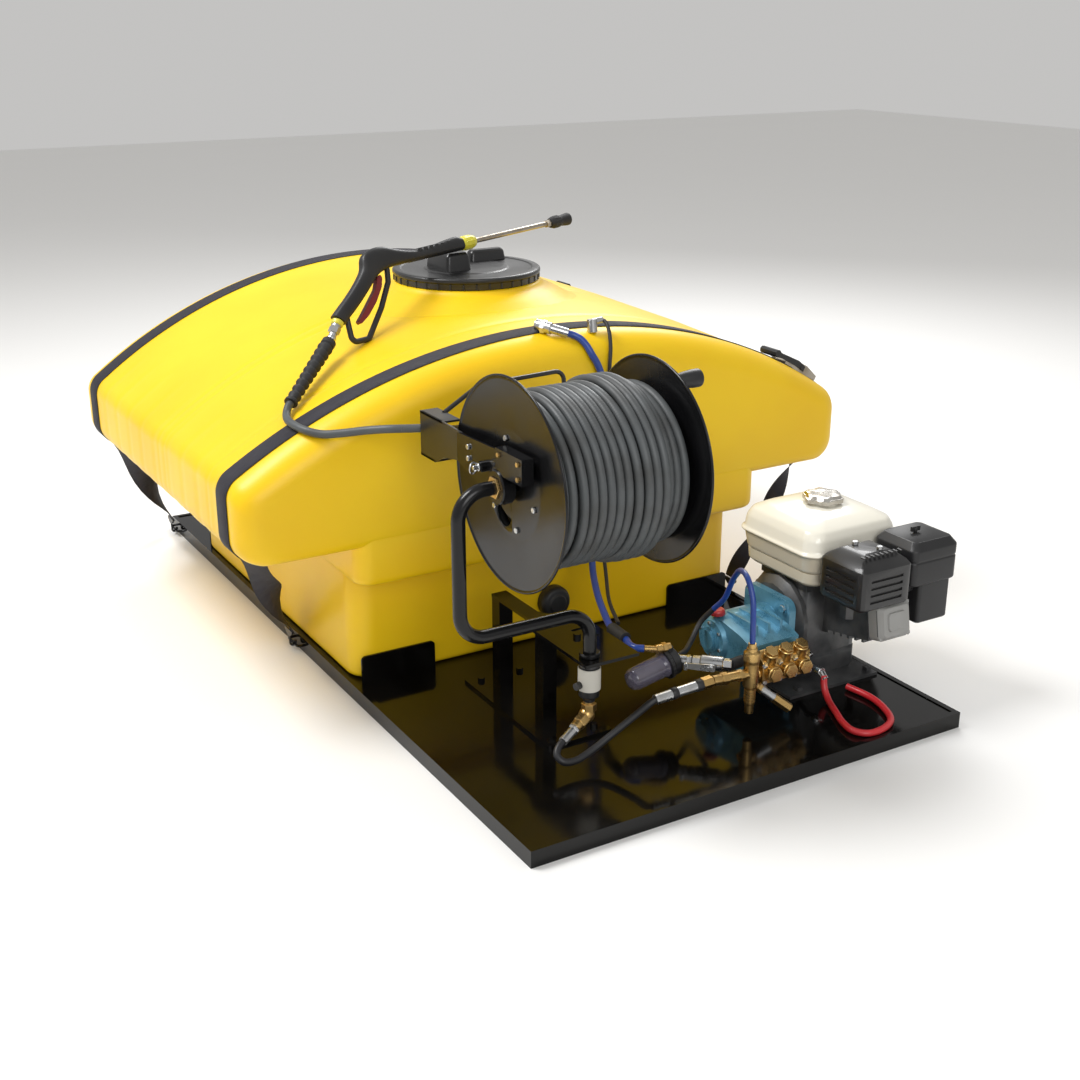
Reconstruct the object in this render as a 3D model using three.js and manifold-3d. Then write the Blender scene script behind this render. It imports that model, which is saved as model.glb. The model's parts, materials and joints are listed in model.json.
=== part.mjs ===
// Skid-mounted pressure washer: a steel deck that carries a saddle-shaped water tank, a swivelling
// hose reel, and an engine with a plunger pump and its plumbing. Millimetres, +Z up.
// Inside the deck group X runs from the left edge, Y from the tail edge towards the tank, and Z = 0
// is the top of the deck plate. The exported group has its origin at the centre of the underside.

import * as THREE from 'three'
import { mergeVertices } from 'three/addons/utils/BufferGeometryUtils.js'
import Module from 'manifold-3d'

const wasm = await Module()
wasm.setup()

// ---- driving dimensions ------------------------------------------------------------------------

const seatGap = 0.3                  // clearance between two pieces that touch

// deck
const deckWidth = 1219
const deckLength = 2400
const deckHeight = 38                // underside to plate top
const rimLip = 3                     // rim above the plate
const rimLeg = 5
const rimFlange = 14
const plateThickness = 5
const channelCount = 5
const channelWidth = 40
const channelWall = 5
const stopLength = 208
const stopHeight = 70
const stopThickness = 6
const stopInset = 30                 // from the deck's side edge
const eyeReach = 16                  // tie-down staple bar, out from the deck's side
const eyeRodRadius = 4
const eyeDrop = 18                   // staple bar below the plate top
const eyeSpan = 70

// tank
const tankFront = 820
const tankLength = 1360
const tankWidth = 1806
const tankFloor = 0.3                // just clear of the deck plate
const tankUnderside = 392            // underside of the overhanging body
const tankWall = 7
const baseTierInset = 15.5           // lower tier, in from the deck's side edges
const baseTierWidth = deckWidth - 2 * baseTierInset
const baseTierSetback = 90
const baseTierHeight = 290
const bandTierWidth = 1225
const lowerEdgeRadius = 60
const shoulderRadius = 60
const planCornerRadius = 60
const topFrontRadius = 80
const crownSteps = [                 // [distance from the tank's front, crown height, arch radius]
  [140, 852, 1640], [380, 872, 1550], [680, 886, 1450], [1260, 886, 1450],
]
const manwayOffset = 576             // manway centre from the tank's front
const manwayRadius = 190
const neckRadius = 205
const neckTop = 908
const outletX = 597
const outletZ = 107
const outletRadius = 45
const outletReach = 40
const archSteps = 5                  // flat steps over half the crown
const cornerSteps = 3                // and round each corner of its section

// lid
const lidRadius = 207
const lidThickness = 32
const lidCollar = 17                 // narrower part under the lid's disc
const plugClearance = 4
const restLugY = [1334, 1467]        // the lug that the spray gun lies on
const restLugHeight = 48

// straps
const strapWidth = 50
const strapThickness = 2
const strapOffsets = [109, 1244]     // strap centres from the tank's front
const hookRodRadius = 3.5
const hookTabHeight = 20
const hookTop = 24                                  // top of a hook's tab above the plate top
const ratchetArc = 806               // ratchet's middle from the tank's middle, across the width
const ratchetLength = 130
const ratchetWidth = 62
const ratchetHeight = 26
const ratchetWall = 2.5
const spindleRadius = 7
const gripLength = 105
const spindleZ = 14

// reel stand and swivel
const pivotX = 332
const pivotY = 303
const standPlateX = [255, 435]
const standPlateY = [355, 780]
const standPlateThickness = 8
const postSize = 38
const postCentreX = 338
const postCentresY = [506, 719]
const topPlateZ = 236
const topPlateThickness = 8
const swivelRadius = 26.5
const swivelBottom = 132
const runningGap = 0.7               // between a turning round and its bore

// reel
const armRadius = 15.5
const armLow = 354                   // height of the arm's lower run
const armOut = 4                     // X of the arm's upright
const armBend = 62
const reelZ = 687
const axleRadius = 12
const flangeRadius = 235
const flangeLeftX = 133
const flangeRightX = 474
const flangeThickness = 2
const flangeDish = 7
const rimRoll = 4
const windowInner = 45
const windowOuter = 110
const windowHalfWidth = 30
const drumRadius = 80
const drumWall = 3
const knobRadius = 20
const knobLength = 70
const knobOrbit = [225, 880]         // Y and Z of the crank knob
const guideX = 107                                   // outer face of the guide's web
const guideArmY = 478
const guideSheet = 5
const guideWeb = [guideArmY + seatGap, 682]
const guideZ = [reelZ - 30, reelZ + 75]
const pinPlace = [pivotY + 61, reelZ + 29]
const pinRadius = 5

// hose
const hoseDiameter = 19.5
const windingPitch = 21.5
const windingTurns = 14.8
const windingSides = 18              // steps in a turn
const windingLeft = 146.5
const windingRadius = 175            // to the hose's centre at the left flange
const windingSteps = [[180, 10], [315, 11], [396, -24]]   // [X, change of radius] of the layers below
const leadAngle = 58.3               // where the hose leaves the winding, from +Y towards +Z

// spray gun
const gunPlace = [320.4, 1272.8, 993.9]
const gunYaw = 15.3
const gunPitch = 3.3
const gunRoll = 22
const barrelRadius = 17
const gunThickness = 34
const knuckleRadius = 12             // ball at the inlet's end

// engine and pump
const crankY = 440
const crankZ = 140
const pumpY = 436
const pumpZ = 132
const hoseSides = 6
const fuelTankFloor = 266
const fuelCapPlace = [1131, 449]
const recoilX = [1182.3, 1300]
const throttlePivot = [1192, 300, 232]
const oilCapX = 796
const manifoldX = [775, 930]
const manifoldY = [215, 290]
const manifoldZ = [92, 168]
const unloaderX = 730
const unloaderY = 213
const unloaderZ = 140
const stemReach = 26
const endStep = 8                    // straight step at each end of a free hose

// ---- shape helpers -----------------------------------------------------------------------------

const vec = (x, y, z) => new THREE.Vector3(x, y, z)
const radians = THREE.MathUtils.degToRad
const lerp = THREE.MathUtils.lerp

// One closed, indexed geometry: shared corners merged, empty triangles dropped, faces outwards.
function closed(geometry) {
  const bare = new THREE.BufferGeometry()
  bare.setAttribute('position', geometry.attributes.position.clone())
  if (geometry.index) bare.setIndex(geometry.index.clone())
  const merged = mergeVertices(bare, 1e-3)
  const corner = (i) => new THREE.Vector3().fromBufferAttribute(merged.attributes.position, i)
  const kept = []
  let volume = 0
  for (let i = 0; i < merged.index.count; i += 3) {
    const [a, b, c] = [0, 1, 2].map((k) => merged.index.getX(i + k))
    if (a === b || b === c || c === a) continue
    kept.push(a, b, c)
    volume += corner(a).dot(corner(b).cross(corner(c)))
  }
  if (volume < 0) kept.reverse()
  merged.setIndex(kept)
  return merged
}

function toSolid(geometry) {
  const merged = closed(geometry)
  return new wasm.Manifold(new wasm.Mesh({
    numProp: 3,
    vertProperties: new Float32Array(merged.attributes.position.array),
    triVerts: new Uint32Array(merged.index.array),
  }))
}

function toGeometry(solid) {
  const mesh = solid.getMesh()
  const geometry = new THREE.BufferGeometry()
  geometry.setAttribute('position', new THREE.BufferAttribute(mesh.vertProperties, 3))
  geometry.setIndex(new THREE.BufferAttribute(mesh.triVerts, 1))
  return geometry
}

const join = (...geometries) => toGeometry(geometries.map(toSolid).reduce((a, b) => a.add(b)))
const cut = (body, ...tools) =>
  toGeometry(tools.map(toSolid).reduce((a, b) => a.subtract(b), toSolid(body)))

function box(x0, x1, y0, y1, z0, z1) {
  return new THREE.BoxGeometry(x1 - x0, y1 - y0, z1 - z0)
    .translate((x0 + x1) / 2, (y0 + y1) / 2, (z0 + z1) / 2)
}

// A round bar, or a cone with two radii, from one point to another.
function rod(from, to, radius, sides = 12, endRadius = radius) {
  const along = to.clone().sub(from)
  const turn = new THREE.Quaternion().setFromUnitVectors(vec(0, 1, 0), along.clone().normalize())
  return new THREE.CylinderGeometry(endRadius, radius, along.length(), sides)
    .applyQuaternion(turn)
    .translate(...from.clone().add(to).multiplyScalar(0.5).toArray())
}

// A profile of [radius, distance] pairs revolved about an axis through a point.
function turned(profile, origin, axis, segments = 24) {
  const points = profile.map(([r, t]) => new THREE.Vector2(r, t))
  const turn = new THREE.Quaternion().setFromUnitVectors(vec(0, 1, 0), axis.clone().normalize())
  return new THREE.LatheGeometry(points, segments).applyQuaternion(turn).translate(...origin.toArray())
}

const slabTurns = {
  xy: new THREE.Matrix4(),
  xz: new THREE.Matrix4().makeBasis(vec(1, 0, 0), vec(0, 0, 1), vec(0, -1, 0)),
  yz: new THREE.Matrix4().makeBasis(vec(0, 1, 0), vec(0, 0, 1), vec(1, 0, 0)),
}

// An outline drawn in one plane and given thickness across it.
function slab(outline, plane, from, to, curveSegments = 4) {
  const shape = outline instanceof THREE.Shape ? outline
    : new THREE.Shape(outline.map(([a, b]) => new THREE.Vector2(a, b)))
  const geometry = new THREE.ExtrudeGeometry(shape, { depth: to - from, bevelEnabled: false, curveSegments })
  geometry.applyMatrix4(slabTurns[plane])
  const shift = { xy: [0, 0, from], xz: [0, to, 0], yz: [from, 0, 0] }[plane]
  return geometry.translate(...shift)
}

function roundedShape(a0, a1, b0, b1, radius) {
  const shape = new THREE.Shape()
  shape.absarc(a1 - radius, b1 - radius, radius, 0, Math.PI / 2)
  shape.absarc(a0 + radius, b1 - radius, radius, Math.PI / 2, Math.PI)
  shape.absarc(a0 + radius, b0 + radius, radius, Math.PI, Math.PI * 1.5)
  shape.absarc(a1 - radius, b0 + radius, radius, Math.PI * 1.5, Math.PI * 2)
  shape.closePath()
  return shape
}

// A skin over matching rings of points, closed by a fan at each end; the rings are convex.
function skin(rings) {
  const count = rings[0].length
  const positions = rings.flat().flatMap((p) => p.toArray())
  const index = []
  for (let r = 0; r < rings.length - 1; r++) {
    for (let i = 0; i < count; i++) {
      const [a, b] = [r * count + i, r * count + ((i + 1) % count)]
      index.push(a, b, b + count, a, b + count, a + count)
    }
  }
  const last = (rings.length - 1) * count
  for (let i = 1; i < count - 1; i++) {
    index.push(0, i + 1, i, last, last + i, last + i + 1)
  }
  const geometry = new THREE.BufferGeometry()
  geometry.setAttribute('position', new THREE.Float32BufferAttribute(positions, 3))
  geometry.setIndex(index)
  return geometry
}

// A box with round upright edges whose outline grows and shrinks with height: [z, inset] levels.
function softBox(x0, x1, y0, y1, radius, levels, perCorner = 3) {
  return skin(levels.map(([z, inset]) => {
    const r = Math.max(radius - inset * 0.3, 1)
    const corners = [[x1 - inset - r, y1 - inset - r], [x0 + inset + r, y1 - inset - r],
      [x0 + inset + r, y0 + inset + r], [x1 - inset - r, y0 + inset + r]]
    return corners.flatMap(([cx, cy], c) => Array.from({ length: perCorner + 1 }, (_, k) => {
      const angle = (c + k / perCorner) * Math.PI / 2
      return vec(cx + r * Math.cos(angle), cy + r * Math.sin(angle), z)
    }))
  }))
}

// A curve that puts an extrusion's rings exactly on its stations, square to the bisector there.
class StationPath extends THREE.Curve {
  constructor(stations) {
    super()
    this.stations = stations
  }

  getPoint(t) {
    const place = t * (this.stations.length - 1)
    const i = Math.min(Math.floor(place), this.stations.length - 2)
    return this.stations[i].clone().lerp(this.stations[i + 1], place - i)
  }

  getPointAt(t) {
    return this.getPoint(t)
  }

  getTangentAt(t) {
    const s = this.stations
    const i = Math.round(t * (s.length - 1))
    const step = (a, b) => s[b].clone().sub(s[a]).normalize()
    if (i === 0) return step(0, 1)
    if (i === s.length - 1) return step(i - 1, i)
    return step(i - 1, i).add(step(i, i + 1)).normalize()
  }
}

// A solid round bar along stations.
function pipe(stations, radius, sides = hoseSides) {
  const ring = Array.from({ length: sides }, (_, i) => {
    const angle = (i + 0.5) * 2 * Math.PI / sides
    return new THREE.Vector2(radius * Math.cos(angle), radius * Math.sin(angle))
  })
  const path = new StationPath(stations)
  return new THREE.ExtrudeGeometry(new THREE.Shape(ring), { steps: stations.length - 1, extrudePath: path })
}

// Stations on a smooth curve through hand-chosen points; a short step keeps each end face square.
function smooth(points, steps) {
  const curve = new THREE.CatmullRomCurve3(points.map((p) => vec(...p)), false, 'centripetal')
  const stations = curve.getSpacedPoints(steps)
  const [start, end] = [stations[0], stations[steps]]
  const afterStart = start.clone().addScaledVector(curve.getTangent(0), endStep)
  const beforeEnd = end.clone().addScaledVector(curve.getTangent(1), -endStep)
  return [start, afterStart, ...stations.slice(1, -1), beforeEnd, end]
}

// Stations on straight runs joined by round bends.
function bent(points, radius, perBend = 4) {
  const p = points.map((q) => vec(...q))
  const stations = [p[0]]
  for (let i = 1; i < p.length - 1; i++) {
    const before = p[i - 1].clone().sub(p[i]).normalize()
    const after = p[i + 1].clone().sub(p[i]).normalize()
    const half = before.angleTo(after) / 2
    const reach = radius / Math.tan(half)
    const centre = before.clone().add(after).normalize().multiplyScalar(radius / Math.sin(half)).add(p[i])
    const start = before.clone().multiplyScalar(reach).add(p[i]).sub(centre)
    const end = after.clone().multiplyScalar(reach).add(p[i]).sub(centre)
    const sweep = start.angleTo(end)
    for (let k = 0; k <= perBend; k++) {
      const a = Math.sin(sweep * (1 - k / perBend)) / Math.sin(sweep)
      const b = Math.sin(sweep * k / perBend) / Math.sin(sweep)
      stations.push(start.clone().multiplyScalar(a).addScaledVector(end, b).add(centre))
    }
  }
  return [...stations, p.at(-1)]
}

// ---- materials ---------------------------------------------------------------------------------

const paint = (color, roughness,
  metalness = 0) => new THREE.MeshStandardMaterial({ color, roughness, metalness })
const finish = {
  glossBlack: paint(0x0b0a0a, 0.12),
  satinBlack: paint(0x17171a, 0.4),
  tankYellow: paint(0xe2ae12, 0.38),
  rubberBlack: paint(0x1b1b1d, 0.75),
  webbing: paint(0x2a2730, 0.85),
  zinc: paint(0xc8cad0, 0.28, 1),
  brass: paint(0xb8913f, 0.3, 1),
  hoseGrey: paint(0x55585a, 0.6),
  plasticBlack: paint(0x1d1e20, 0.55),
  collarYellow: paint(0xd8d425, 0.45),
  steel: paint(0x9a9488, 0.35, 1),
  engineGrey: paint(0x6d6f72, 0.5, 0.6),
  tankWhite: paint(0xe9e6da, 0.3),
  pumpBlue: paint(0x4f8fb3, 0.35, 0.3),
  capRed: paint(0xb81f26, 0.35),
  hoseBlue: paint(0x1d3f8f, 0.45),
  hoseRed: paint(0xb5202c, 0.45),
  hoseBlack: paint(0x1a1b1e, 0.5),
  filterSmoke: paint(0x4c4f63, 0.2),
}

function piece(name, geometry, material) {
  const mesh = new THREE.Mesh(closed(geometry), material)
  mesh.name = name
  return mesh
}

// ---- deck --------------------------------------------------------------------------------------

const tankCentreX = deckWidth / 2
const tankRear = tankFront + tankLength
const strapCentres = strapOffsets.map((offset) => tankFront + offset)
const channelTop = -plateThickness - seatGap
const channelFloor = 1 - deckHeight                  // just above the rim's underside

function tieStaple(side, y) {
  const edge = side < 0 ? 1 : deckWidth - 1
  const out = side < 0 ? -eyeReach : deckWidth + eyeReach
  const corner = (x, dy) => [x, y + dy, -eyeDrop]
  const half = eyeSpan / 2
  return pipe(bent([corner(edge, -half), corner(out, -half), corner(out, half), corner(edge, half)], 8, 2),
    eyeRodRadius, 5)
}

function deckFrame() {
  const bottom = -deckHeight
  const rim = cut(
    box(0, deckWidth, 0, deckLength, bottom, rimLip),
    box(rimLeg, deckWidth - rimLeg, rimLeg, deckLength - rimLeg, bottom - 1, rimLip - rimLeg),
    box(rimFlange, deckWidth - rimFlange, rimFlange, deckLength - rimFlange, -rimLeg, rimLip + 1),
  )
  const half = channelWidth / 2
  const channels = Array.from({ length: channelCount }, (_, i) => {
    const y = deckLength / 2 + (i - (channelCount - 1) / 2) * deckLength / channelCount
    const profile = [
      [y - half, channelFloor], [y + half, channelFloor], [y + half, channelFloor + channelWall],
      [y - half + channelWall, channelFloor + channelWall],
        [y - half + channelWall, channelTop - channelWall],
      [y + half, channelTop - channelWall], [y + half, channelTop], [y - half, channelTop],
    ]
    return slab(profile, 'yz', rimLeg - 1, deckWidth - rimLeg + 1)
  })
  const staples = [-1, 1].flatMap((side) => hookPlaces(side).map((y) => tieStaple(side, y)))
  return join(rim, ...channels, ...staples)
}

function deckPlate() {
  const edge = rimFlange + seatGap
  const plate = box(edge, deckWidth - edge, edge, deckLength - edge, -plateThickness, 0)
  const stops = [stopInset, deckWidth - stopInset - stopLength].flatMap((x) => {
    const outline = new THREE.Shape()
    outline.moveTo(x, -1)
    outline.lineTo(x + stopLength, -1)
    outline.absarc(x + stopLength - 12, stopHeight - 12, 12, 0, Math.PI / 2)
    outline.absarc(x + 12, stopHeight - 12, 12, Math.PI / 2, Math.PI)
    const front = tankFront + baseTierSetback - seatGap
    const rear = tankRear - baseTierSetback + seatGap
    return [slab(outline, 'xz', front - stopThickness, front),
      slab(outline, 'xz', rear, rear + stopThickness)]
  })
  return join(plate, ...stops)
}

// ---- tank --------------------------------------------------------------------------------------

// Crown height and arch radius of the tank's top at a distance from its front.
function crownAt(distance) {
  const last = crownSteps.length - 1
  if (distance <= crownSteps[0][0]) return crownSteps[0].slice(1)
  if (distance >= crownSteps[last][0]) return crownSteps[last].slice(1)
  const i = crownSteps.findIndex((step) => step[0] > distance)
  const [a, b] = [crownSteps[i - 1], crownSteps[i]]
  const t = (distance - a[0]) / (b[0] - a[0])
  return [lerp(a[1], b[1], t), lerp(a[2], b[2], t)]
}

// How far an edge of the given radius has drawn in at a distance inside the end face.
const edgeInset = (distance, radius) =>
  distance >= radius ? 0 : radius - Math.sqrt(radius ** 2 - (radius - distance) ** 2)

// Half of the body's cross-section, from the underside's edge up to the crown, as [dx, z].
function halfSection(distance, wall = 0, arcs = archSteps, corners = cornerSteps) {
  const fromEnd = Math.min(distance, tankLength - distance)
  const [crown, arch] = crownAt(Math.min(Math.max(distance, topFrontRadius), tankLength - topFrontRadius))
  const radius = arch - wall
  const halfWidth = tankWidth / 2 - wall - edgeInset(fromEnd - wall, planCornerRadius - wall)
  const top = crown - wall - edgeInset(fromEnd - wall, topFrontRadius - wall)
  const floor = tankUnderside + wall + edgeInset(fromEnd - wall, 25)
  const low = lowerEdgeRadius - wall
  const shoulder = shoulderRadius - wall
  const points = []
  for (let k = 0; k <= corners; k++) {
    const a = k / corners * Math.PI / 2
    points.push([halfWidth - low + low * Math.sin(a), floor + low - low * Math.cos(a)])
  }
  const shoulderX = halfWidth - shoulder
  const tilt = Math.asin(shoulderX / (radius - shoulder))
  const shoulderZ = top - radius + (radius - shoulder) * Math.cos(tilt)
  for (let k = 0; k <= corners; k++) {
    const a = k / corners * (Math.PI / 2 - tilt)
    points.push([shoulderX + shoulder * Math.cos(a), shoulderZ + shoulder * Math.sin(a)])
  }
  for (let k = 1; k <= arcs; k++) {
    const a = tilt * (1 - k / arcs)
    points.push([radius * Math.sin(a), top - radius + radius * Math.cos(a)])
  }
  return points
}

function bodySection(distance, wall = 0) {
  const half = wall > 0 ? halfSection(distance, wall, 4, 1) : halfSection(distance)
  const right = half.map(([dx, z]) => vec(tankCentreX + dx, tankFront + distance, z))
  const left = half.slice(0, -1).reverse().map(([dx, z]) => vec(tankCentreX - dx, tankFront + distance, z))
  return [...right, ...left]
}

function tankBody(wall = 0) {
  const ends = wall > 0 ? [wall, 30, topFrontRadius] : [0, 10, 34, topFrontRadius]
  const middle = crownSteps.map((step) => step[0])
  const distances = [...ends, ...middle, ...ends.map((d) => tankLength - d).reverse()]
  return skin(distances.map((d) => bodySection(d, wall)))
}

function tankTiers(wall = 0) {
  const tier = (width, setback, radius, z0, z1) => slab(
    roundedShape(tankCentreX - width / 2 + wall, tankCentreX + width / 2 - wall,
      tankFront + setback + wall, tankRear - setback - wall, radius - wall), 'xy', z0, z1, wall > 0 ? 1 : 2)
  const overlap = 40
  return [
    tier(baseTierWidth, baseTierSetback, 60, tankFloor + wall, baseTierHeight + overlap),
    tier(bandTierWidth, 0, 45, baseTierHeight + wall, tankUnderside + overlap),
  ]
}

function tankShell() {
  const manway = vec(tankCentreX, tankFront + manwayOffset, 0)
  const neck = turned([[0, 800], [335, 800], [335, 838], [290, 858], [250, 880], [215, 897],
    [neckRadius, neckTop], [0, neckTop]], manway, vec(0, 0, 1), 20)
  const front = tankFront + baseTierSetback
  const outlet = turned([[0, -20], [outletRadius, -20], [outletRadius, outletReach * 0.6],
    [outletRadius * 0.8, outletReach * 0.9], [outletRadius * 0.4, outletReach], [0, outletReach]],
  vec(outletX, front, outletZ), vec(0, -1, 0), 10)
  const outer = join(tankBody(), ...tankTiers(), neck)
  const inner = join(tankBody(tankWall), ...tankTiers(tankWall))
  const mouth = turned([[0, 780], [manwayRadius, 780], [manwayRadius, neckTop + 1], [0, neckTop + 1]],
    manway, vec(0, 0, 1), 20)
  return join(cut(outer, inner, mouth), outlet)
}

function tankLid() {
  const centre = vec(tankCentreX, tankFront + manwayOffset, neckTop + seatGap)
  const plug = manwayRadius - plugClearance
  const disc = turned([[0, -14], [plug, -14], [plug, 0], [lidRadius - 4, 0],
    [lidRadius - 4, lidCollar], [lidRadius, lidCollar + 2], [lidRadius, lidThickness - 4],
      [lidRadius - 5, lidThickness], [0, lidThickness]],
  centre, vec(0, 0, 1), 20)
  const top = centre.z + lidThickness
  const lug = (x0, x1, y0, y1, height) =>
    softBox(x0, x1, y0, y1, 12, [[top - 1, 0], [top + height - 6, 4], [top + height, 10]], 2)
  const rest = lug(tankCentreX - 92, tankCentreX - 14, ...restLugY, restLugHeight)
  const ridge = lug(tankCentreX + 44, tankCentreX + 160, centre.y + 54, centre.y + 96, 30)
  return join(disc, rest, ridge)
}

// ---- straps ------------------------------------------------------------------------------------

// A flat band through sections of four corners.

// The band's cross-section on the tank at one outline point: the outline pushed out twice.
function strapSection(y, side, i) {
  const at = (edge, lift) => {
    const half = halfSection(edge - tankFront)
    const [before, here, after] = [half[Math.max(i - 1, 0)], half[i], half[i + 1]
      ?? [-half.at(-2)[0], half.at(-2)[1]]]
    const normalOf = (a, b) => new THREE.Vector2(b[1] - a[1], a[0] - b[0]).normalize()
    const ahead = normalOf(here, after)
    const behind = i === 0 ? new THREE.Vector2(0, -1) : normalOf(before, here)
    const normal = ahead.clone().add(behind).normalize()
    const reach = lift / Math.max(normal.dot(ahead), 0.6)
    const dx = here[0] + normal.x * reach
    return vec(tankCentreX + side * dx, edge, here[1] + normal.y * reach)
  }
  const [near, far] = [y - strapWidth / 2, y + strapWidth / 2]
  const [low, high] = [seatGap, seatGap + strapThickness]
  return [at(near, low), at(far, low), at(far, high), at(near, high)]
}

// A section of free band: centre, width direction and thickness direction.
function freeSection(centre, across, normal) {
  const w = across.clone().normalize().multiplyScalar(strapWidth / 2)
  const n = normal.clone().normalize().multiplyScalar(strapThickness)
  const corner = (a, b) => centre.clone().addScaledVector(w, a).addScaledVector(n, b)
  return [corner(-1, 0), corner(1, 0), corner(1, 1), corner(-1, 1)]
}

const halfCount = 2 * (cornerSteps + 1) + archSteps
const ratchetStation = 2 * (cornerSteps + 1) - 1   // where the arch meets the right shoulder

const hookPlaces = (side) => strapCentres.map((y) => (side < 0 ? y + 340 : y + 20)).map((y) =>
  Math.min(y, deckLength - eyeSpan))

const hookLine = (side) => (side < 0 ? -eyeReach - 9 : deckWidth + eyeReach + 9)

// The band from the left hook up and over the tank to the ratchet.
function strapOver(y, hookY) {
  const left = Array.from({ length: halfCount }, (_, i) => strapSection(y, -1, i))
  const right = Array.from({ length: halfCount - 1 - ratchetStation }, (_, i) =>
    strapSection(y, 1, halfCount - 2 - i))
  const start = vec(hookLine(-1), hookY, hookTop + strapThickness)
  const edge = left[0].reduce((a, b) => a.clone().add(b)).multiplyScalar(0.25)
  const run = edge.clone().sub(start)
  const out = vec(-run.z, 0, run.x)
  const free = [0, 0.35, 0.7].map((t) => freeSection(start.clone().lerp(edge, t), vec(0, 1, 0), out))
  return skin([...free, ...left, ...right])
}

// The short band from the ratchet over the right side and, twisted, down to the deck.
function strapTail(y, hookY, turns) {
  const right = Array.from({ length: ratchetStation }, (_, k) => strapSection(y, 1, ratchetStation - 1 - k))
  const start = right.at(-1).reduce((a, b) => a.clone().add(b)).multiplyScalar(0.25)
  const end = vec(hookLine(1), hookY, hookTop + strapThickness + 0.5)
  const steps = 14
  const free = Array.from({ length: steps }, (_, k) => {
    const t = (k + 1) / steps
    const turn = turns * Math.PI * 2 * t
    const run = end.clone().sub(start).normalize()
    const level = vec(0, 1, 0).addScaledVector(run, -run.y).normalize()
    const across = level.applyAxisAngle(run, turn)
    const normal = run.clone().cross(across)
    const swing = Math.sin(Math.PI * t) * 6
    const centre = start.clone().lerp(end, t).addScaledVector(normal, -strapThickness / 2)
    return freeSection(centre.add(vec(swing, 0, 0)), across, normal)
  })
  return skin([...right, ...free])
}

// A wire hook round the staple's bar, under a flat tab that carries the webbing.
function strapHook(side, y) {
  const bar = vec(side < 0 ? -eyeReach : deckWidth + eyeReach, y, -eyeDrop)
  const reach = eyeRodRadius + hookRodRadius + seatGap
  const arcSteps = 5
  const arc = Array.from({ length: arcSteps + 1 }, (_, k) => {
    const angle = Math.PI * k / arcSteps
    return vec(bar.x + side * reach * Math.cos(angle), y, bar.z - reach * Math.sin(angle))
  })
  const tabBottom = hookTop - hookTabHeight
  const line = hookLine(side)
  const shank = [vec(line, y, tabBottom + 2), vec(lerp(line, arc[0].x, 0.7), y, bar.z + 10)]
  const tip = vec(arc.at(-1).x, y, bar.z + 5)
  const tab = slab([[y - 10, tabBottom], [y + 10, tabBottom], [y + 26, hookTop - 6], [y + 26, hookTop],
    [y - 26, hookTop], [y - 26, hookTop - 6]], 'yz', line - 3, line + 3)
  return join(pipe([...shank, ...arc, tip], hookRodRadius, 5), tab)
}

// Ratchet in its own frame: x down the slope, y across the band, z off the tank.
function ratchetFrame() {
  const half = ratchetWidth / 2
  const side = (y) => slab([[-ratchetLength / 2, 0], [ratchetLength / 2, 0], [ratchetLength / 2, 14],
    [18, ratchetHeight], [-18, ratchetHeight], [-ratchetLength / 2, 12]], 'xz', y, y + ratchetWall)
  const floorPlate = box(-ratchetLength / 2, ratchetLength / 2, -half, half, 0, ratchetWall)
  const barAt = (x) => rod(vec(x, -half, 8), vec(x, half, 8), 5, 8)
  const bore = rod(vec(0, -half - 1, spindleZ), vec(0, half + 1, spindleZ), spindleRadius + runningGap, 8)
  return cut(join(side(-half), side(half - ratchetWall), floorPlate, barAt(ratchetLength / 2 - 8),
    barAt(-ratchetLength / 2 + 8)), bore)
}

function ratchetHandle() {
  const half = ratchetWidth / 2 + seatGap
  const arm = (y) => slab([[12, spindleZ - 10], [12, spindleZ + 10], [-20, spindleZ + 14],
    [-gripLength, spindleZ + 8], [-gripLength, spindleZ - 4], [-20, spindleZ - 4]], 'xz', y, y + ratchetWall)
  const spindle = rod(vec(0, -half - 4, spindleZ), vec(0, half + 4, spindleZ), spindleRadius, 8)
  const gripAt = (y) => vec(-gripLength, y, spindleZ + 2)
  const grip = rod(gripAt(-half - 4), gripAt(half + 4), 11, 8)
  return join(arm(half), arm(-half - ratchetWall), spindle, grip)
}

function ratchetPlace(y) {
  const group = new THREE.Group()
  const half = halfSection(y - tankFront)
  const [low, high] = [half[ratchetStation], half[ratchetStation + 1]]
  const slope = Math.atan2(high[1] - low[1], low[0] - high[0])
  const t = (low[0] - ratchetArc) / (low[0] - high[0])
  const lift = 2 * seatGap + strapThickness
  const z = lerp(low[1], high[1], t)
  group.position.set(tankCentreX + ratchetArc + lift * Math.sin(slope), y, z + lift * Math.cos(slope))
  group.rotation.y = slope
  return group
}

// ---- reel stand and swivel ---------------------------------------------------------------------

const hexBolt = (x, y, z) => rod(vec(x, y, z - 2), vec(x, y, z + 9), 9, 6)

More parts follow.
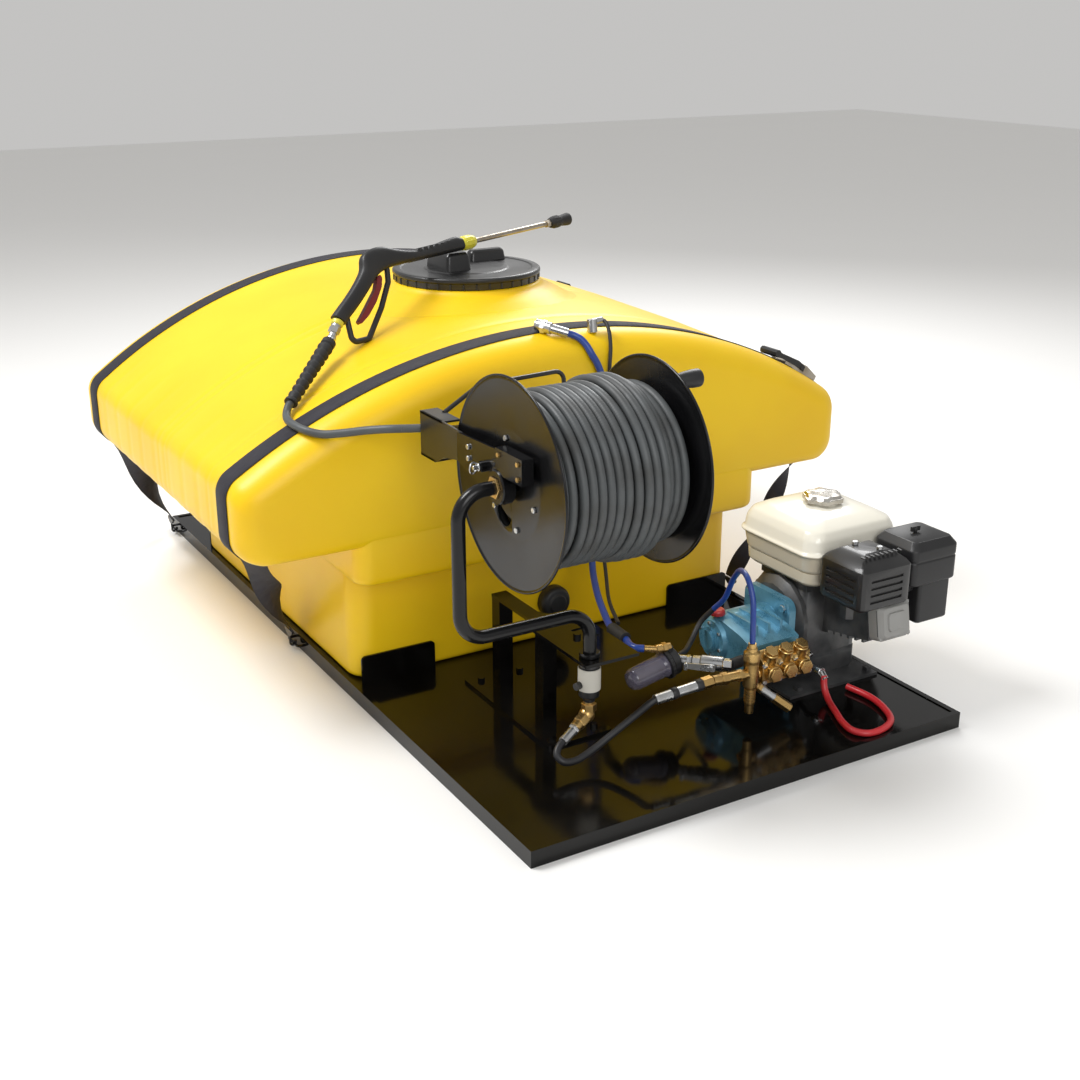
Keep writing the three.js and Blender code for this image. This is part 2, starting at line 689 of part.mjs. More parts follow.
function reelStand() {
  const [x0, x1] = standPlateX
  const [y0, y1] = standPlateY
  const foot = slab(roundedShape(x0, x1, y0, y1, 10), 'xy', seatGap, standPlateThickness, 1)
  const half = postSize / 2
  const posts = postCentresY.map((y) =>
    box(postCentreX - half, postCentreX + half, y - half, y + half, standPlateThickness - 1, topPlateZ + 1))
  const left = pivotX - swivelRadius - 9
  const backY = postCentresY[1] + half + 2
  const outline = new THREE.Shape([[left, pivotY - 42], [x1 + 5, pivotY - 42], [x1 + 5, pivotY + 165],
    [postCentreX + half + 4, pivotY + 280], [postCentreX + half + 4, backY], [postCentreX - half, backY],
    [postCentreX - half, pivotY + 262], [left, pivotY + 200]].map(([x, y]) => new THREE.Vector2(x, y)))
  outline.holes.push(new THREE.Path().absarc(pivotX, pivotY, armRadius + runningGap, 0, Math.PI * 2))
  const topPlate = slab(outline, 'xy', topPlateZ, topPlateZ + topPlateThickness, 6)
  const slots = [90, 140, 190].map((dy) => slab(
    roundedShape(postCentreX + 32, postCentreX + 78, pivotY + dy - 5, pivotY + dy + 5, 4.9),
    'xy', topPlateZ - 1, topPlateZ + topPlateThickness + 1, 1))
  const footBolts = [[x0 + 34, y1 - 35], [x1 - 33, y1 - 35], [x0 + 28, y0 + 34], [x1 - 33, y0 + 34]]
    .map(([x, y]) => hexBolt(x, y, standPlateThickness))
  const plateBolt = hexBolt(pivotX + 31, pivotY + 103, topPlateZ + topPlateThickness)
  return join(foot, ...posts, cut(topPlate, ...slots), ...footBolts, plateBolt)
}

function swivelHousing() {
  const bore = armRadius + runningGap
  const top = topPlateZ - seatGap
  const body = turned([[0, swivelBottom], [14, swivelBottom], [14, swivelBottom + 8], [24, swivelBottom + 14],
    [24, swivelBottom + 30], [swivelRadius, swivelBottom + 31], [swivelRadius, swivelBottom + 86],
    [22, swivelBottom + 88], [22, top], [bore, top], [bore, top - 14], [0, top - 14]],
  vec(pivotX, pivotY, 0), vec(0, 0, 1), 11)
  const plug = rod(vec(pivotX - swivelRadius + 4, pivotY, 178),
    vec(pivotX - swivelRadius - 14, pivotY - 6, 178), 9, 8)
  return join(body, plug)
}

function swivelElbow() {
  const knee = vec(pivotX - 6, pivotY, 97)
  const top = vec(pivotX, pivotY, swivelBottom - seatGap)
  const end = vec(...pressureHoseRoute[0])
  const run = end.clone().sub(knee).normalize()
  const along = (d) => knee.clone().addScaledVector(run, d)
  return join(rod(top, vec(pivotX, pivotY, 104), 13, 6),
    rod(vec(pivotX, pivotY, 124), vec(pivotX, pivotY, 108), 18, 6),
    new THREE.SphereGeometry(19, 7, 4).translate(...knee.toArray()),
    rod(knee, along(34), 17, 6), rod(along(30), along(48), 14, 6),
    rod(along(46), along(knee.distanceTo(end) - 1), 11, 8))
}

// ---- reel --------------------------------------------------------------------------------------

const reelAxis = (x) => vec(x, pivotY, reelZ)

function reelArm() {
  const tube = pipe(bent([[100, pivotY, reelZ], [armOut, pivotY, reelZ], [armOut, pivotY, armLow],
    [pivotX, pivotY, armLow], [pivotX, pivotY, topPlateZ - 12]], armBend, 3), armRadius, 8)
  const hubX = flangeLeftX - 9
  const hub = rod(reelAxis(92), reelAxis(hubX), 38, 10)
  const axle = rod(reelAxis(hubX - 4), reelAxis(flangeRightX + 24), axleRadius, 10)
  const collar = rod(vec(pivotX, pivotY, topPlateZ + topPlateThickness + seatGap),
    vec(pivotX, pivotY, topPlateZ + topPlateThickness + 12), 24, 8)
  const block = box(96, hubX, pivotY - 105, pivotY + 4, reelZ + 30, reelZ + 86)
  const pinBoss = rod(vec(88, pinPlace[0], pinPlace[1]), vec(hubX, pinPlace[0], pinPlace[1]), 12, 6)
  const nut = rod(reelAxis(flangeRightX + 10), reelAxis(flangeRightX + 22), 19, 6)
  const plate = slab([[pivotY - 20, reelZ - 34], [pivotY + 46, reelZ - 30], [guideArmY + 10, reelZ + 8],
    [guideArmY + 10, reelZ + 73], [pivotY - 20, reelZ + 80]], 'yz', guideX - 6, guideX)
  const pinHole = rod(vec(80, pinPlace[0], pinPlace[1]), vec(hubX + 1, pinPlace[0], pinPlace[1]),
    pinRadius + runningGap, 8)
  return cut(join(tube, hub, axle, collar, block, pinBoss, nut, plate), pinHole)
}

// Bracket web with two lips, and the bent rod that keeps the hose in front of the spool.
function hoseGuide() {
  const [y0, y1] = guideWeb
  const lipY = y1 - 112
  const overlapPlate = slab([[guideArmY - 60, reelZ + 12], [y0 + 4, reelZ + 12], [y0 + 4, reelZ + 70],
    [guideArmY - 60, reelZ + 70]], 'yz', guideX + seatGap, guideX + guideSheet)
  const web = slab([[y0, reelZ + 8], [lipY, reelZ - 8], [lipY + 40, guideZ[0]], [y1, guideZ[0]],
    [y1, guideZ[1]],
    [lipY, guideZ[1]], [y0, reelZ + 73]], 'yz', guideX + seatGap, guideX + guideSheet)
  const topLip = box(guideX + seatGap, guideX + 45, lipY, y1, guideZ[1] - guideSheet, guideZ[1])
  const lowLip = box(guideX + seatGap, guideX + 45, lipY + 40, y1, guideZ[0], guideZ[0] + guideSheet)
  const hoop = pipe(bent([[guideX + 40, y1 - 42, guideZ[1] - 2], [guideX + 150, y1 - 6, guideZ[1] + 40],
    [497, y1 + 8, guideZ[1] + 43], [501, y1 + 8, reelZ - 87], [guideX + 40, y1 - 30, guideZ[0] + 3]],
  26, 2), 5.5, 6)
  return join(overlapPlate, web, topLip, lowLip, hoop)
}

function reelDrum() {
  const [a, b] = [flangeLeftX + flangeThickness + seatGap, flangeRightX - seatGap]
  const bore = axleRadius + runningGap
  return turned([[bore, a], [drumRadius, a], [drumRadius, b], [bore, b], [bore, b - drumWall],
    [drumRadius - drumWall, b - drumWall], [drumRadius - drumWall, a + drumWall], [bore, a + drumWall],
      [bore, a]],
  vec(0, pivotY, reelZ), vec(1, 0, 0), 16)
}

// A dished disc with a rolled rim and a rounded window below the hub; out is the dish's direction.
function reelFlange(x, out) {
  const bore = axleRadius + runningGap
  const face = x + (out > 0 ? flangeThickness : 0)
  const back = x + (out > 0 ? 0 : flangeThickness)
  const rim = out * flangeDish
  const profile = [[bore, back], [windowOuter + 8, back], [flangeRadius - 2 * rimRoll, back + rim],
    [flangeRadius - rimRoll, back + rim - out * 2], [flangeRadius, back + rim + out * 2],
    [flangeRadius - rimRoll, face + rim + out * 4], [flangeRadius - 2 * rimRoll, face + rim],
    [windowOuter + 8, face], [bore, face], [bore, back]]
  const disc = turned(profile, vec(0, pivotY, reelZ), vec(1, 0, 0), 24)
  const slot = new THREE.Shape()
  slot.absarc(0, windowInner + windowHalfWidth, windowHalfWidth, Math.PI, 0)
  slot.absarc(0, windowOuter - windowHalfWidth, windowHalfWidth, 0, Math.PI)
  const opening = slab(slot, 'yz', -20, 20, 3).rotateX(radians(-155)).translate(x, pivotY, reelZ)
  return cut(disc, opening)
}

// Radius of the winding's hose centre at a place along the spool: it follows the layers below.
function windingRadiusAt(x) {
  return windingSteps.reduce((radius, [from, change]) =>
    radius + change * THREE.MathUtils.smoothstep(x, from, from + windingPitch), windingRadius)
}

function windingStations() {
  const count = Math.round(windingTurns * windingSides)
  const end = radians(leadAngle)
  const turnsPart = Array.from({ length: count + 1 }, (_, k) => {
    const turns = (count - k) / windingSides
    const x = windingLeft + windingPitch * turns
    const radius = windingRadiusAt(x)
    const angle = end + turns * 2 * Math.PI
    return vec(x, pivotY + radius * Math.cos(angle), reelZ + radius * Math.sin(angle))
  })
  const last = turnsPart.at(-1)
  const way = leadDirection()
  const first = turnsPart[0]
  const before = turnsPart[1].clone().sub(first).setX(0).normalize().multiplyScalar(-hoseDiameter).add(first)
  const clearRadius = windingRadius + hoseDiameter + seatGap
  const straight = Math.sqrt(clearRadius ** 2 - windingRadius ** 2)
  return [before, ...turnsPart, last.clone().addScaledVector(way, straight)]
}

const leadDirection = () => vec(0, Math.sin(radians(leadAngle)), -Math.cos(radians(leadAngle)))

// The winding's least gap to itself: the nearest two centre points a half turn or more apart.
function windingGap(stations) {
  let least = Infinity
  for (let i = 0; i < stations.length; i++) {
    for (let j = i + windingSides / 2; j < Math.min(i + 1.5 * windingSides, stations.length); j++) {
      least = Math.min(least, stations[i].distanceTo(stations[j]))
    }
  }
  return least - hoseDiameter
}

function woundHose() {
  const stations = windingStations()
  console.log(`wound hose: least gap to itself ${windingGap(stations).toFixed(2)} mm`)
  return pipe(stations, hoseDiameter / 2, 6)
}

// The hose layers underneath, as one plain body that follows the winding's step.
function hoseCore() {
  const [a, b] = [flangeLeftX + flangeThickness + 1.2, flangeRightX - 1.2]
  const reach = hoseDiameter / 2 + 1
  const under = (x) => Math.min(windingRadiusAt(x - reach), windingRadiusAt(x + reach))
    * Math.cos(Math.PI / windingSides) - hoseDiameter / 2 - seatGap
  const places = windingSteps.flatMap(([x, change]) =>
    (change > 0 ? [x + reach, x + reach + windingPitch] : [x - reach, x - reach + windingPitch]))
  const top = [a, ...places, b].map((x) => [under(x), x])
  const bore = (drumRadius + seatGap) / Math.cos(Math.PI / windingSides)
  return turned([[bore, a], ...top, [bore, b], [bore, a]], vec(0, pivotY, reelZ), vec(1, 0, 0), windingSides)
}

const knobSeat = flangeRightX + flangeDish + flangeThickness

function crankKnob() {
  const [y, z] = knobOrbit
  return turned([[0, knobSeat + seatGap], [knobRadius * 0.7, knobSeat + seatGap],
    [knobRadius * 0.75, knobSeat + 12],
    [knobRadius * 0.9, knobSeat + 30], [knobRadius, knobSeat + 50], [knobRadius, knobSeat + knobLength - 3],
    [knobRadius * 0.88, knobSeat + knobLength], [0, knobSeat + knobLength]], vec(0, y, z), vec(1, 0, 0), 10)
}

function reelLockPin() {
  const [y, z] = pinPlace
  const tip = flangeLeftX - 1
  const ring = new THREE.TorusGeometry(12, 2, 5, 12).rotateX(Math.PI / 2).rotateZ(radians(25)).translate(74,
    y, z)
  return join(rod(vec(73, y, z), vec(tip, y, z), pinRadius, 8), rod(vec(84, y, z), vec(87, y, z), 9, 8), ring)
}

// ---- hoses -------------------------------------------------------------------------------------

const restrictorStart = [86, 1147, 833]
const restrictorEnd = [-78, 1012, 727]
const gunHoseRoute = [
  restrictorEnd, [-86.56, 1004.96, 721.47], [-98, 989, 710], [-108, 958, 704], [-110, 916, 702],
    [-98, 866, 698],
  [-71, 836, 693], [-30, 807, 697], [13, 778, 704], [46, 743, 711],
]
const splitPoint = vec(78, 721, 713)                // where the moving end starts
const splitWay = vec(29, -16, 0.5).normalize()
const atSplit = (d) => splitPoint.clone().addScaledVector(splitWay, d).toArray()
const feedRoute = [
  [607, 853, 852.6], [622, 848, 847], [636, 837, 838], [647, 823, 821], [656, 812, 799], [668, 808, 778],
  [681, 807.5, 748], [690, 807.5, 700], [687, 807.5, 612], [678, 807.5, 443], [664, 804, 325],
    [644, 780, 252],
  [600, 690, 212], [560, 590, 192], [536, 520, 184], [530, 450, 183], [522, 414, 181], [526.3, 397, 181],
  [533.2, 391.8, 181], [541.16, 385.78, 181],
]
const ventRoute = [
  [720, 869, 872], [725, 858, 868], [723, 838, 848], [717, 820, 812], [709, 810, 772], [706, 810, 700],
  [702, 810, 571], [695, 810, 412], [690, 800, 285], [655, 730, 232], [600, 630, 205], [550, 512, 197],
]
const pressureHoseRoute = [
  [240, 268, 66], [226, 262, 60], [214, 250, 48], [222, 236, 36], [250, 232, 32], [300, 238, 42],
  [345, 240, 62], [410, 226, 108], [440, 215, 134], [455, 213, 142],
]
const bypassRoute = [
  [730, 213, 219.3], [730, 213.5, 240], [732, 217, 270], [739, 232, 325], [744, 262, 366], [760, 308, 364],
    [774, 350, 326],
  [776, 385, 260], [770, 420, 220], [752, 445, 180], [715, 430, 146], [668, 392, 142], [650, 382, 144],
  [635, 374.5, 145],
]
const drainRoute = [
  [985, 238, 62], [980, 228, 34], [974, 205, 13], [950, 150, 9], [926, 95, 9], [920, 52, 9], [940, 26, 9],
  [985, 24, 9], [1035, 48, 9], [1066, 105, 9], [1078, 166, 9], [1069, 240, 9],
]

// The moving end of the spray hose, from the winding through the guide to just past it.
function hoseLead() {
  const stations = windingStations()
  const start = stations.at(-1).addScaledVector(leadDirection(), 2 * seatGap)
  const straight = start.clone().addScaledVector(leadDirection(), 20)
  const route = [start.toArray(), straight.toArray(), [158, 590, 733], [155, 650, 718], atSplit(48),
    atSplit(24), atSplit(10), atSplit(seatGap / 2)]
  return pipe(smooth(route, 11), hoseDiameter / 2 - 0.25, 6)
}

function gunHose() {
  const route = [...gunHoseRoute, atSplit(-18), atSplit(-9), atSplit(-seatGap / 2)]
  return pipe(smooth(route, 15), hoseDiameter / 2 - 0.25, 6)
}

// ---- spray gun, in its own frame: x along the barrel, z up the handle's plane --------------------

function gunBody() {
  const half = gunThickness / 2
  const outline = new THREE.Shape()
  outline.moveTo(255, 19)
  outline.lineTo(236, 27)
  outline.bezierCurveTo(190, 25, 120, 12, 91, 14)
  outline.bezierCurveTo(60, 17, 30, 26, 0, 38)
  outline.bezierCurveTo(-30, 50, -60, 47, -84, 33)
  outline.bezierCurveTo(-100, 20, -92, 6, -108, -8)
  outline.bezierCurveTo(-130, -30, -170, -58, -204, -78)
  outline.lineTo(-236, -98)
  outline.lineTo(-206, -128)
  outline.lineTo(-186, -112)
  outline.bezierCurveTo(-150, -92, -110, -64, -70, -34)
  outline.bezierCurveTo(-50, -18, -20, -14, 10, -12)
  outline.bezierCurveTo(60, -12, 120, -10, 255, -12)
  const body = slab(outline, 'xz', -half, half, 3)
  const barrel = rod(vec(60, 0, 3), vec(255, 0, 4), barrelRadius - 1, 12, barrelRadius)
  const guardPath = bent([[-18, 0, -14], [-28, 0, -48], [-76, 0, -108], [-146, 0, -176.6], [-200, 0, -174.8],
    [-192, 0, -108]], 16, 2)
  return join(body, barrel, pipe(guardPath, 8, 6))
}

function gunTrigger() {
  const outline = [[-64, -31.2], [-52, -24.7], [-48, -34], [-60, -58], [-92, -92], [-128, -120], [-160, -136],
    [-166, -128], [-140, -108], [-104, -78], [-80, -58], [-72, -46]]
  return slab(outline, 'xz', -9, 9)
}

function gunParts() {
  const mid = vec(0, 0, 4)
  const on = (x) => vec(x, 0, mid.z)
  const collar = turned([[0, 255 + seatGap], [18, 255 + seatGap], [19.5, 264], [19.5, 290], [15, 304],
    [0, 304]],
    mid, vec(1, 0, 0), 10)
  const lance = join(rod(on(304 + seatGap), on(600), 7.5, 8), rod(on(590), on(606), 11, 6))
  const guard = cut(turned([[0, 606 + seatGap], [13, 606 + seatGap], [17, 620], [17, 640], [15, 650],
    [18, 676],
    [18, 684], [0, 684]], mid, vec(1, 0, 0), 12), rod(on(664), on(690), 11, 10))
  return { collar, lance, guard }
}

const gunTurn = new THREE.Euler(radians(-gunRoll), radians(-gunPitch), radians(gunYaw), 'ZYX')
const intoGun = (point) => point.clone().sub(vec(...gunPlace))
  .applyQuaternion(new THREE.Quaternion().setFromEuler(gunTurn).invert())

function gunInlet() {
  const down = vec(-1, 0, -1).normalize()
  const start = vec(-221, 0, -113).addScaledVector(down, seatGap)
  const at = (d) => start.clone().addScaledVector(down, d)
  const sleeve = vec(...restrictorStart)
  const knuckle = intoGun(sleeve.clone().sub(vec(...restrictorEnd)).setLength(knuckleRadius + seatGap).add(sleeve))
  return join(rod(at(0), at(14), 16, 10), rod(at(12), at(22), 13, 8), rod(at(20), at(38), 15, 6),
    rod(at(34), knuckle, 10, 8),
      new THREE.SphereGeometry(knuckleRadius, 8, 6).translate(...knuckle.toArray()))
}

// Rubber sleeve with nine raised rings round the hose's end.
function bendRestrictor() {
  const [start, end] = [vec(...restrictorStart), vec(...restrictorEnd)]
  const length = start.distanceTo(end) - seatGap
  const rings = 9
  const profile = [[0, 0], [18, 0], [18, 14]]
  for (let k = 0; k < rings; k++) {
    const from = 18 + k * (length - 32) / rings
    const radius = lerp(18, 14.5, k / rings)
    profile.push([radius - 3.5, from], [radius, from + 5])
  }
  profile.push([12, length - 12], [17, length - 8], [17, length], [0, length])
  return turned(profile, start, end.clone().sub(start), 7)
}

// ---- engine ------------------------------------------------------------------------------------

function engineBlock() {
  const base = box(906, 1196, 268, 560, seatGap, 8)
  const feet = [[950, 290], [1180, 290], [950, 540], [1180, 540]].flatMap(([x, y]) =>
    box(x - 8, x + 8, y - 8, y + 8, 6, 18))
  const pan = softBox(985, 1181, 330, 555, 20, [[7, 6], [20, 0], [60, 0], [72, 12]], 1)
  const crankcase = softBox(1000, 1182, 336, 548, 30, [[60, 0], [215, 0], [250, 18], [262, 40]], 2)
  const bell = turned([[0, 975 + seatGap], [92, 975 + seatGap], [112, 992], [112, 1004], [0, 1004]],
    vec(0, crankY, crankZ + 8), vec(1, 0, 0), 14)
  const tilt = radians(10)
  const tilted = (geometry) => geometry.rotateX(-tilt).translate(1115, 340, 186)
  const finOutline = []
  const finCount = 6
  const finStep = (k) => -8 - k * 26
  for (let k = 0; k < finCount; k++) {
    finOutline.push([finStep(k), 44], [finStep(k) - 8, 44], [finStep(k) - 8, 36], [finStep(k + 1), 36])
  }
  for (let k = finCount; k > 0; k--) {
    finOutline.push([finStep(k), -50], [finStep(k - 1) - 8, -50], [finStep(k - 1) - 8, -58],
      [finStep(k - 1), -58])
  }
  finOutline.push([40, -58], [40, 44])
  const cylinder = tilted(slab(finOutline, 'yz', -56, 56))
  const cover = tilted(softBox(-52, 52, -50, 44, 14, [[0, 0], [30, 0], [42, 12]], 1)
    .rotateX(Math.PI / 2).translate(0, -163, 0))
  const exhaust = rod(vec(1062, 250, 200), vec(1062, 250, 266 - seatGap), 22, 6)
  const tankBracket = [box(1010, 1030, 350, 530, 240, fuelTankFloor - seatGap),
    box(1145, 1163, 350, 530, 240, fuelTankFloor - seatGap),
    box(1010, 1163, 420, 460, 236, 260)]
  const intake = box(1153, 1170, 196, 236, 232, 268 - seatGap)
  const [leverX, leverY, leverZ] = throttlePivot
  const leverBoss = box(1162, leverX + 8, leverY + seatGap, leverY + 18, leverZ - 12, leverZ + 8)
  const drain = join(rod(vec(1000, 345, 58), vec(985, 285, 66), 7, 6),
    rod(vec(985, 292, 66), vec(985, 262 + seatGap, 66), 9, 6))
  return join(base, ...feet, pan, crankcase, bell, cylinder, cover, exhaust, intake, leverBoss, drain,
    ...tankBracket)
}

function fuelTank() {
  const body = softBox(967, 1265, 290, 590, 46,
    [[300, 22], [308, 10], [350, 3], [353, -4], [359, -4], [362, 2],
    [392, 6], [412, 16], [430, 50]], 3)
  const sump = softBox(980, 1168, 306, 574, 34, [[fuelTankFloor, 12], [fuelTankFloor + 10, 2], [304, 0]], 2)
  const [x, y] = fuelCapPlace
  const neck = rod(vec(x, y, 425), vec(x, y, 436), 40, 14)
  return join(body, sump, neck)
}

function fuelCap() {
  const lobes = 6
  const steps = 36
  const outline = Array.from({ length: steps }, (_, i) => {
    const angle = i / steps * 2 * Math.PI
    const r = 51 + 3.5 * Math.cos(lobes * angle)
    return [fuelCapPlace[0] + r * Math.cos(angle), fuelCapPlace[1] + r * Math.sin(angle)]
  })
  return join(slab(outline, 'xy', 436 + seatGap, 449),
    turned([[0, 448], [47, 448], [40, 456], [0, 456]], vec(...fuelCapPlace, 0), vec(0, 0, 1), 18))
}

function mufflerGuard() {
  const [x0, x1, y0, y1] = [985, 1146, 130, 284]
  const body = softBox(x0, x1, y0, y1, 14, [[266, 4], [273, 0], [366, 0], [376, 8], [392, 30], [398, 44]], 2)
  const sideSlots = [285, 303, 321, 339].map((z) => box(x0 - 1, x0 + 5, y0 + 26, y1 - 26, z, z + 7))
  const frontSlots = [285, 303, 321, 339].map((z) => box(x0 + 30, x1 - 30, y0 - 1, y0 + 5, z, z + 7))
  const nuts = [[1052, 236], [1080, 180]].map(([x, y]) => rod(vec(x, y, 396), vec(x, y, 406), 7, 6))
  return join(cut(body, ...sideSlots, ...frontSlots), ...nuts)
}

function airCleaner() {
  const upper = softBox(1158, 1309, 140, 284, 18, [[290, 8], [296, 0], [384, 0], [403, 14]], 2)
  const duct = softBox(1196, 1300, 150, 240, 10, [[186, 4], [190, 0], [297, 0]], 1)
  const elbow = softBox(1150, 1200, 170, 270, 10, [[268, 4], [272, 0], [301, 0]], 1)
  const stud = rod(vec(1228, 214, 400), vec(1228, 214, 418), 5, 6)
  const wings = box(1214, 1242, 211, 217, 408, 420)
  return join(upper, duct, elbow, stud, wings)
}

function recoilCover() {
  const [a, b] = recoilX
  const body = turned([[0, a], [118, a], [122, a + 20], [122, b - 34], [104, b - 12], [60, b], [0, b]],
    vec(0, crankY, crankZ + 20), vec(1, 0, 0), 18)
  const slotCount = 6
  const slots = Array.from({ length: slotCount }, (_, k) => {
    const angle = k / slotCount * 2 * Math.PI
    return box(b - 22, b + 6, -5, 5, 46, 88).rotateX(angle).translate(0, crankY, crankZ + 20)
  })
  const boss = box(b - 40, b + 2, crankY - 122, crankY - 84, crankZ + 60, crankZ + 104)
  return join(cut(body, ...slots), boss)
}

const handleSeat = [recoilX[1] + 2 + seatGap, crankY - 103, crankZ + 82]

function recoilHandle() {
  const [x, y, z] = handleSeat
  return join(rod(vec(x, y, z), vec(x + 14, y, z), 8, 8),
    slab(roundedShape(y - 42, y + 42, z - 11, z + 11, 10.5), 'yz', x + 12, x + 34, 3))
}

function throttleLever() {
  const [x, y, z] = throttlePivot
  return join(rod(vec(x, y, z), vec(x, y - 12, z), 9, 10),
    slab([[x - 4, z], [x + 4, z], [x + 7, z + 34], [x - 7, z + 34]], 'xz', y - 9, y - 4))
}

function engineSwitch() {
  const y = crankY - 122
  return join(box(recoilX[0] + 60, recoilX[0] + 84, y - 9, y - seatGap, crankZ + 66, crankZ + 90),
    box(recoilX[0] + 69, recoilX[0] + 75, y - 17, y - 8, crankZ + 68, crankZ + 88))
}

// ---- pump and plumbing -------------------------------------------------------------------------

function pumpCrankcase() {
  const axis = vec(1, 0, 0)
  const centre = vec(0, pumpY, pumpZ)
  const barrel = turned([[0, 765], [24, 765], [24, 772], [34, 772], [34, 778], [50, 780], [60, 796],
    [60, 956], [0, 956]], centre, axis, 14)
  const shoulder = slab([[manifoldY[1] + seatGap, pumpZ - 46], [pumpY, pumpZ - 58], [pumpY, pumpZ + 58],
    [pumpY - 34, pumpZ + 56], [manifoldY[1] + 40, pumpZ + 44], [manifoldY[1] + seatGap, pumpZ + 30]], 'yz',
      790, 940)
  const flange = slab(roundedShape(pumpY - 90, pumpY + 90, pumpZ - 88, pumpZ + 92, 28), 'yz', 955, 975, 3)
  const ribs = [828, 866, 904].map((x) => box(x, x + 7, manifoldY[1] + 30, pumpY, pumpZ + 30, pumpZ + 66))
  const bolts = [[-1, -1], [-1, 1], [1, -1], [1, 1]].map(([a, b]) =>
    rod(vec(944, pumpY + a * 68, pumpZ + 2 + b * 68), vec(958, pumpY + a * 68, pumpZ + 2 + b * 68), 9, 6))
  return join(barrel, shoulder, flange, ...ribs, ...bolts)
}

function pumpOilCap() {
  const base = pumpZ + 60 + seatGap
  return turned([[0, base], [9, base], [9, base + 2], [20, base + 4], [20, base + 14], [16, base + 19],
    [0, base + 20]],
    vec(oilCapX, pumpY, 0), vec(0, 0, 1), 12)
}

function pumpManifold() {
  const [x0, x1] = manifoldX
  const [y0, y1] = manifoldY
  const [z0, z1] = manifoldZ
  const core = slab([[y0 + 12, z0], [y1, z0], [y1, z1 - 26], [y1 - 30, z1], [y0 + 12, z1 - 20]], 'yz',
    x0 + 4, x1 - 4)
  const middles = [0.2, 0.5, 0.8].map((t) => lerp(x0, x1, t))
  const caps = middles.map((x) => rod(vec(x, y0 + 20, z0 + 26), vec(x, y0 - 10, z0 + 26), 20, 8))
  const tops = middles.map((x) => rod(vec(x, y0 + 30, z1 - 34), vec(x, y0 + 14, z1 + 8), 19, 8))
  const rail = rod(vec(x0, y0 + 40, z0 + 18), vec(x1, y0 + 40, z0 + 18), 21, 8)
  return join(core, rail, ...caps, ...tops)
}

function unloader() {
  const at = (z) => vec(unloaderX, unloaderY, z)
  const column = turned([[0, 37], [11, 37], [13, 104], [18, 108], [18, 168], [20, 176], [20, 196],
    [13, 200], [13, 219], [0, 219]], at(0), vec(0, 0, 1), 8)
  const cross = rod(vec(615.5, unloaderY, unloaderZ + 9), vec(unloaderX + 6, unloaderY, unloaderZ), 12, 8)
  const hexes = [[640, 660]].map(([a, b]) =>
    rod(vec(a, unloaderY, unloaderZ + 7), vec(b, unloaderY, unloaderZ + 5), 15, 6))
  const turn = vec(752, 253, 110)
  const outlet = rod(at(112), turn, 13, 8)
  const inletStub = rod(turn.clone().add(vec(-10, 0, 0)), turn.clone().setX(manifoldX[0] - seatGap), 13, 8)
  return join(column, cross, ...hexes, outlet, inletStub)
}

function injector() {
  const branch = vec(741, 232.5, 111)
  const end = vec(829, 180, 36)
  const start = end.clone().sub(branch).setLength(13.4).add(branch)
  const at = (t) => start.clone().lerp(end, t)
  return join(rod(start, at(0.3), 9, 8), rod(at(0.2), at(0.62), 11, 8), rod(at(0.55), end, 13, 6))
}

const filterAxis = vec(-1, 0, -0.21).normalize()
const filterHeadPoint = vec(598, 362, 141)

function filterHead() {
  const along = (d) => filterHeadPoint.clone().addScaledVector(filterAxis, d)
  const cap = rod(along(-18), along(5), 35, 10)
  const ribs = rod(along(4), along(14), 38, 10)
  const port = rod(along(-14), vec(622, 342, 149), 14, 6)
  const union = rod(vec(616, 348, 149), valveStart.clone().addScaledVector(valveWay, -1.4), 13, 6)
  const barb = rod(vec(612, 364, 146), vec(634.5, 374.3, 145), 6, 6)
  const tee = rod(vec(598, 362, 160), vec(594, 362, 182), 12, 6)
  const inlet = rod(vec(600, 362, 181), vec(562, 368, 181), 11, 6)
  const tail = rod(vec(566, 367, 181), vec(541.4, 385.6, 181), 8, 6)
  return join(cap, ribs, port, union, barb, tee, inlet, tail)
}

function filterBowl() {
  return turned([[0, 14 + seatGap], [31, 14 + seatGap], [31, 22], [29, 26], [28, 104], [22, 116], [8, 122],
    [0, 122]],
    filterHeadPoint, filterAxis, 12)
}

function hoseWithEnds(route, radius, steps, sides, ...fittings) {
  return join(pipe(smooth(route, steps), radius, sides), ...fittings)
}

function feedHose() {
  const barb = join(rod(vec(549, 907, 870.6), vec(571, 868, 864.6), 15, 8),
    rod(vec(568, 873, 866), vec(608, 852.5, 852), 12, 8))
  const sleeve = rod(vec(536, 520, 184), vec(529, 448, 186), 15, 8)
  return hoseWithEnds(feedRoute, 9, 22, 6, barb, sleeve)
}

function ventHose() {
  const fitting = join(rod(vec(691, 866, 842.9), vec(691, 870, 876), 13, 8),
    rod(vec(691, 869, 869), vec(722, 869, 872), 8, 6))
  return hoseWithEnds(ventRoute, 5, 17, 5, fitting)
}

function pressureHose() {
  const end = (x, z) => vec(x, 213, z)
  const fittings = [rod(end(453, 141), end(500, 144), 12, 8), rod(end(498, 144), end(514, 145), 14, 6),
    rod(end(512, 145), end(585, 148), 12.5, 8), rod(end(584, 148), end(613.5, 149), 15, 6)]
  return hoseWithEnds(pressureHoseRoute, 8.5, 18, 6, ...fittings)
}

function bypassHose() {
  return pipe(smooth(bypassRoute, 17), 7, 6)
}

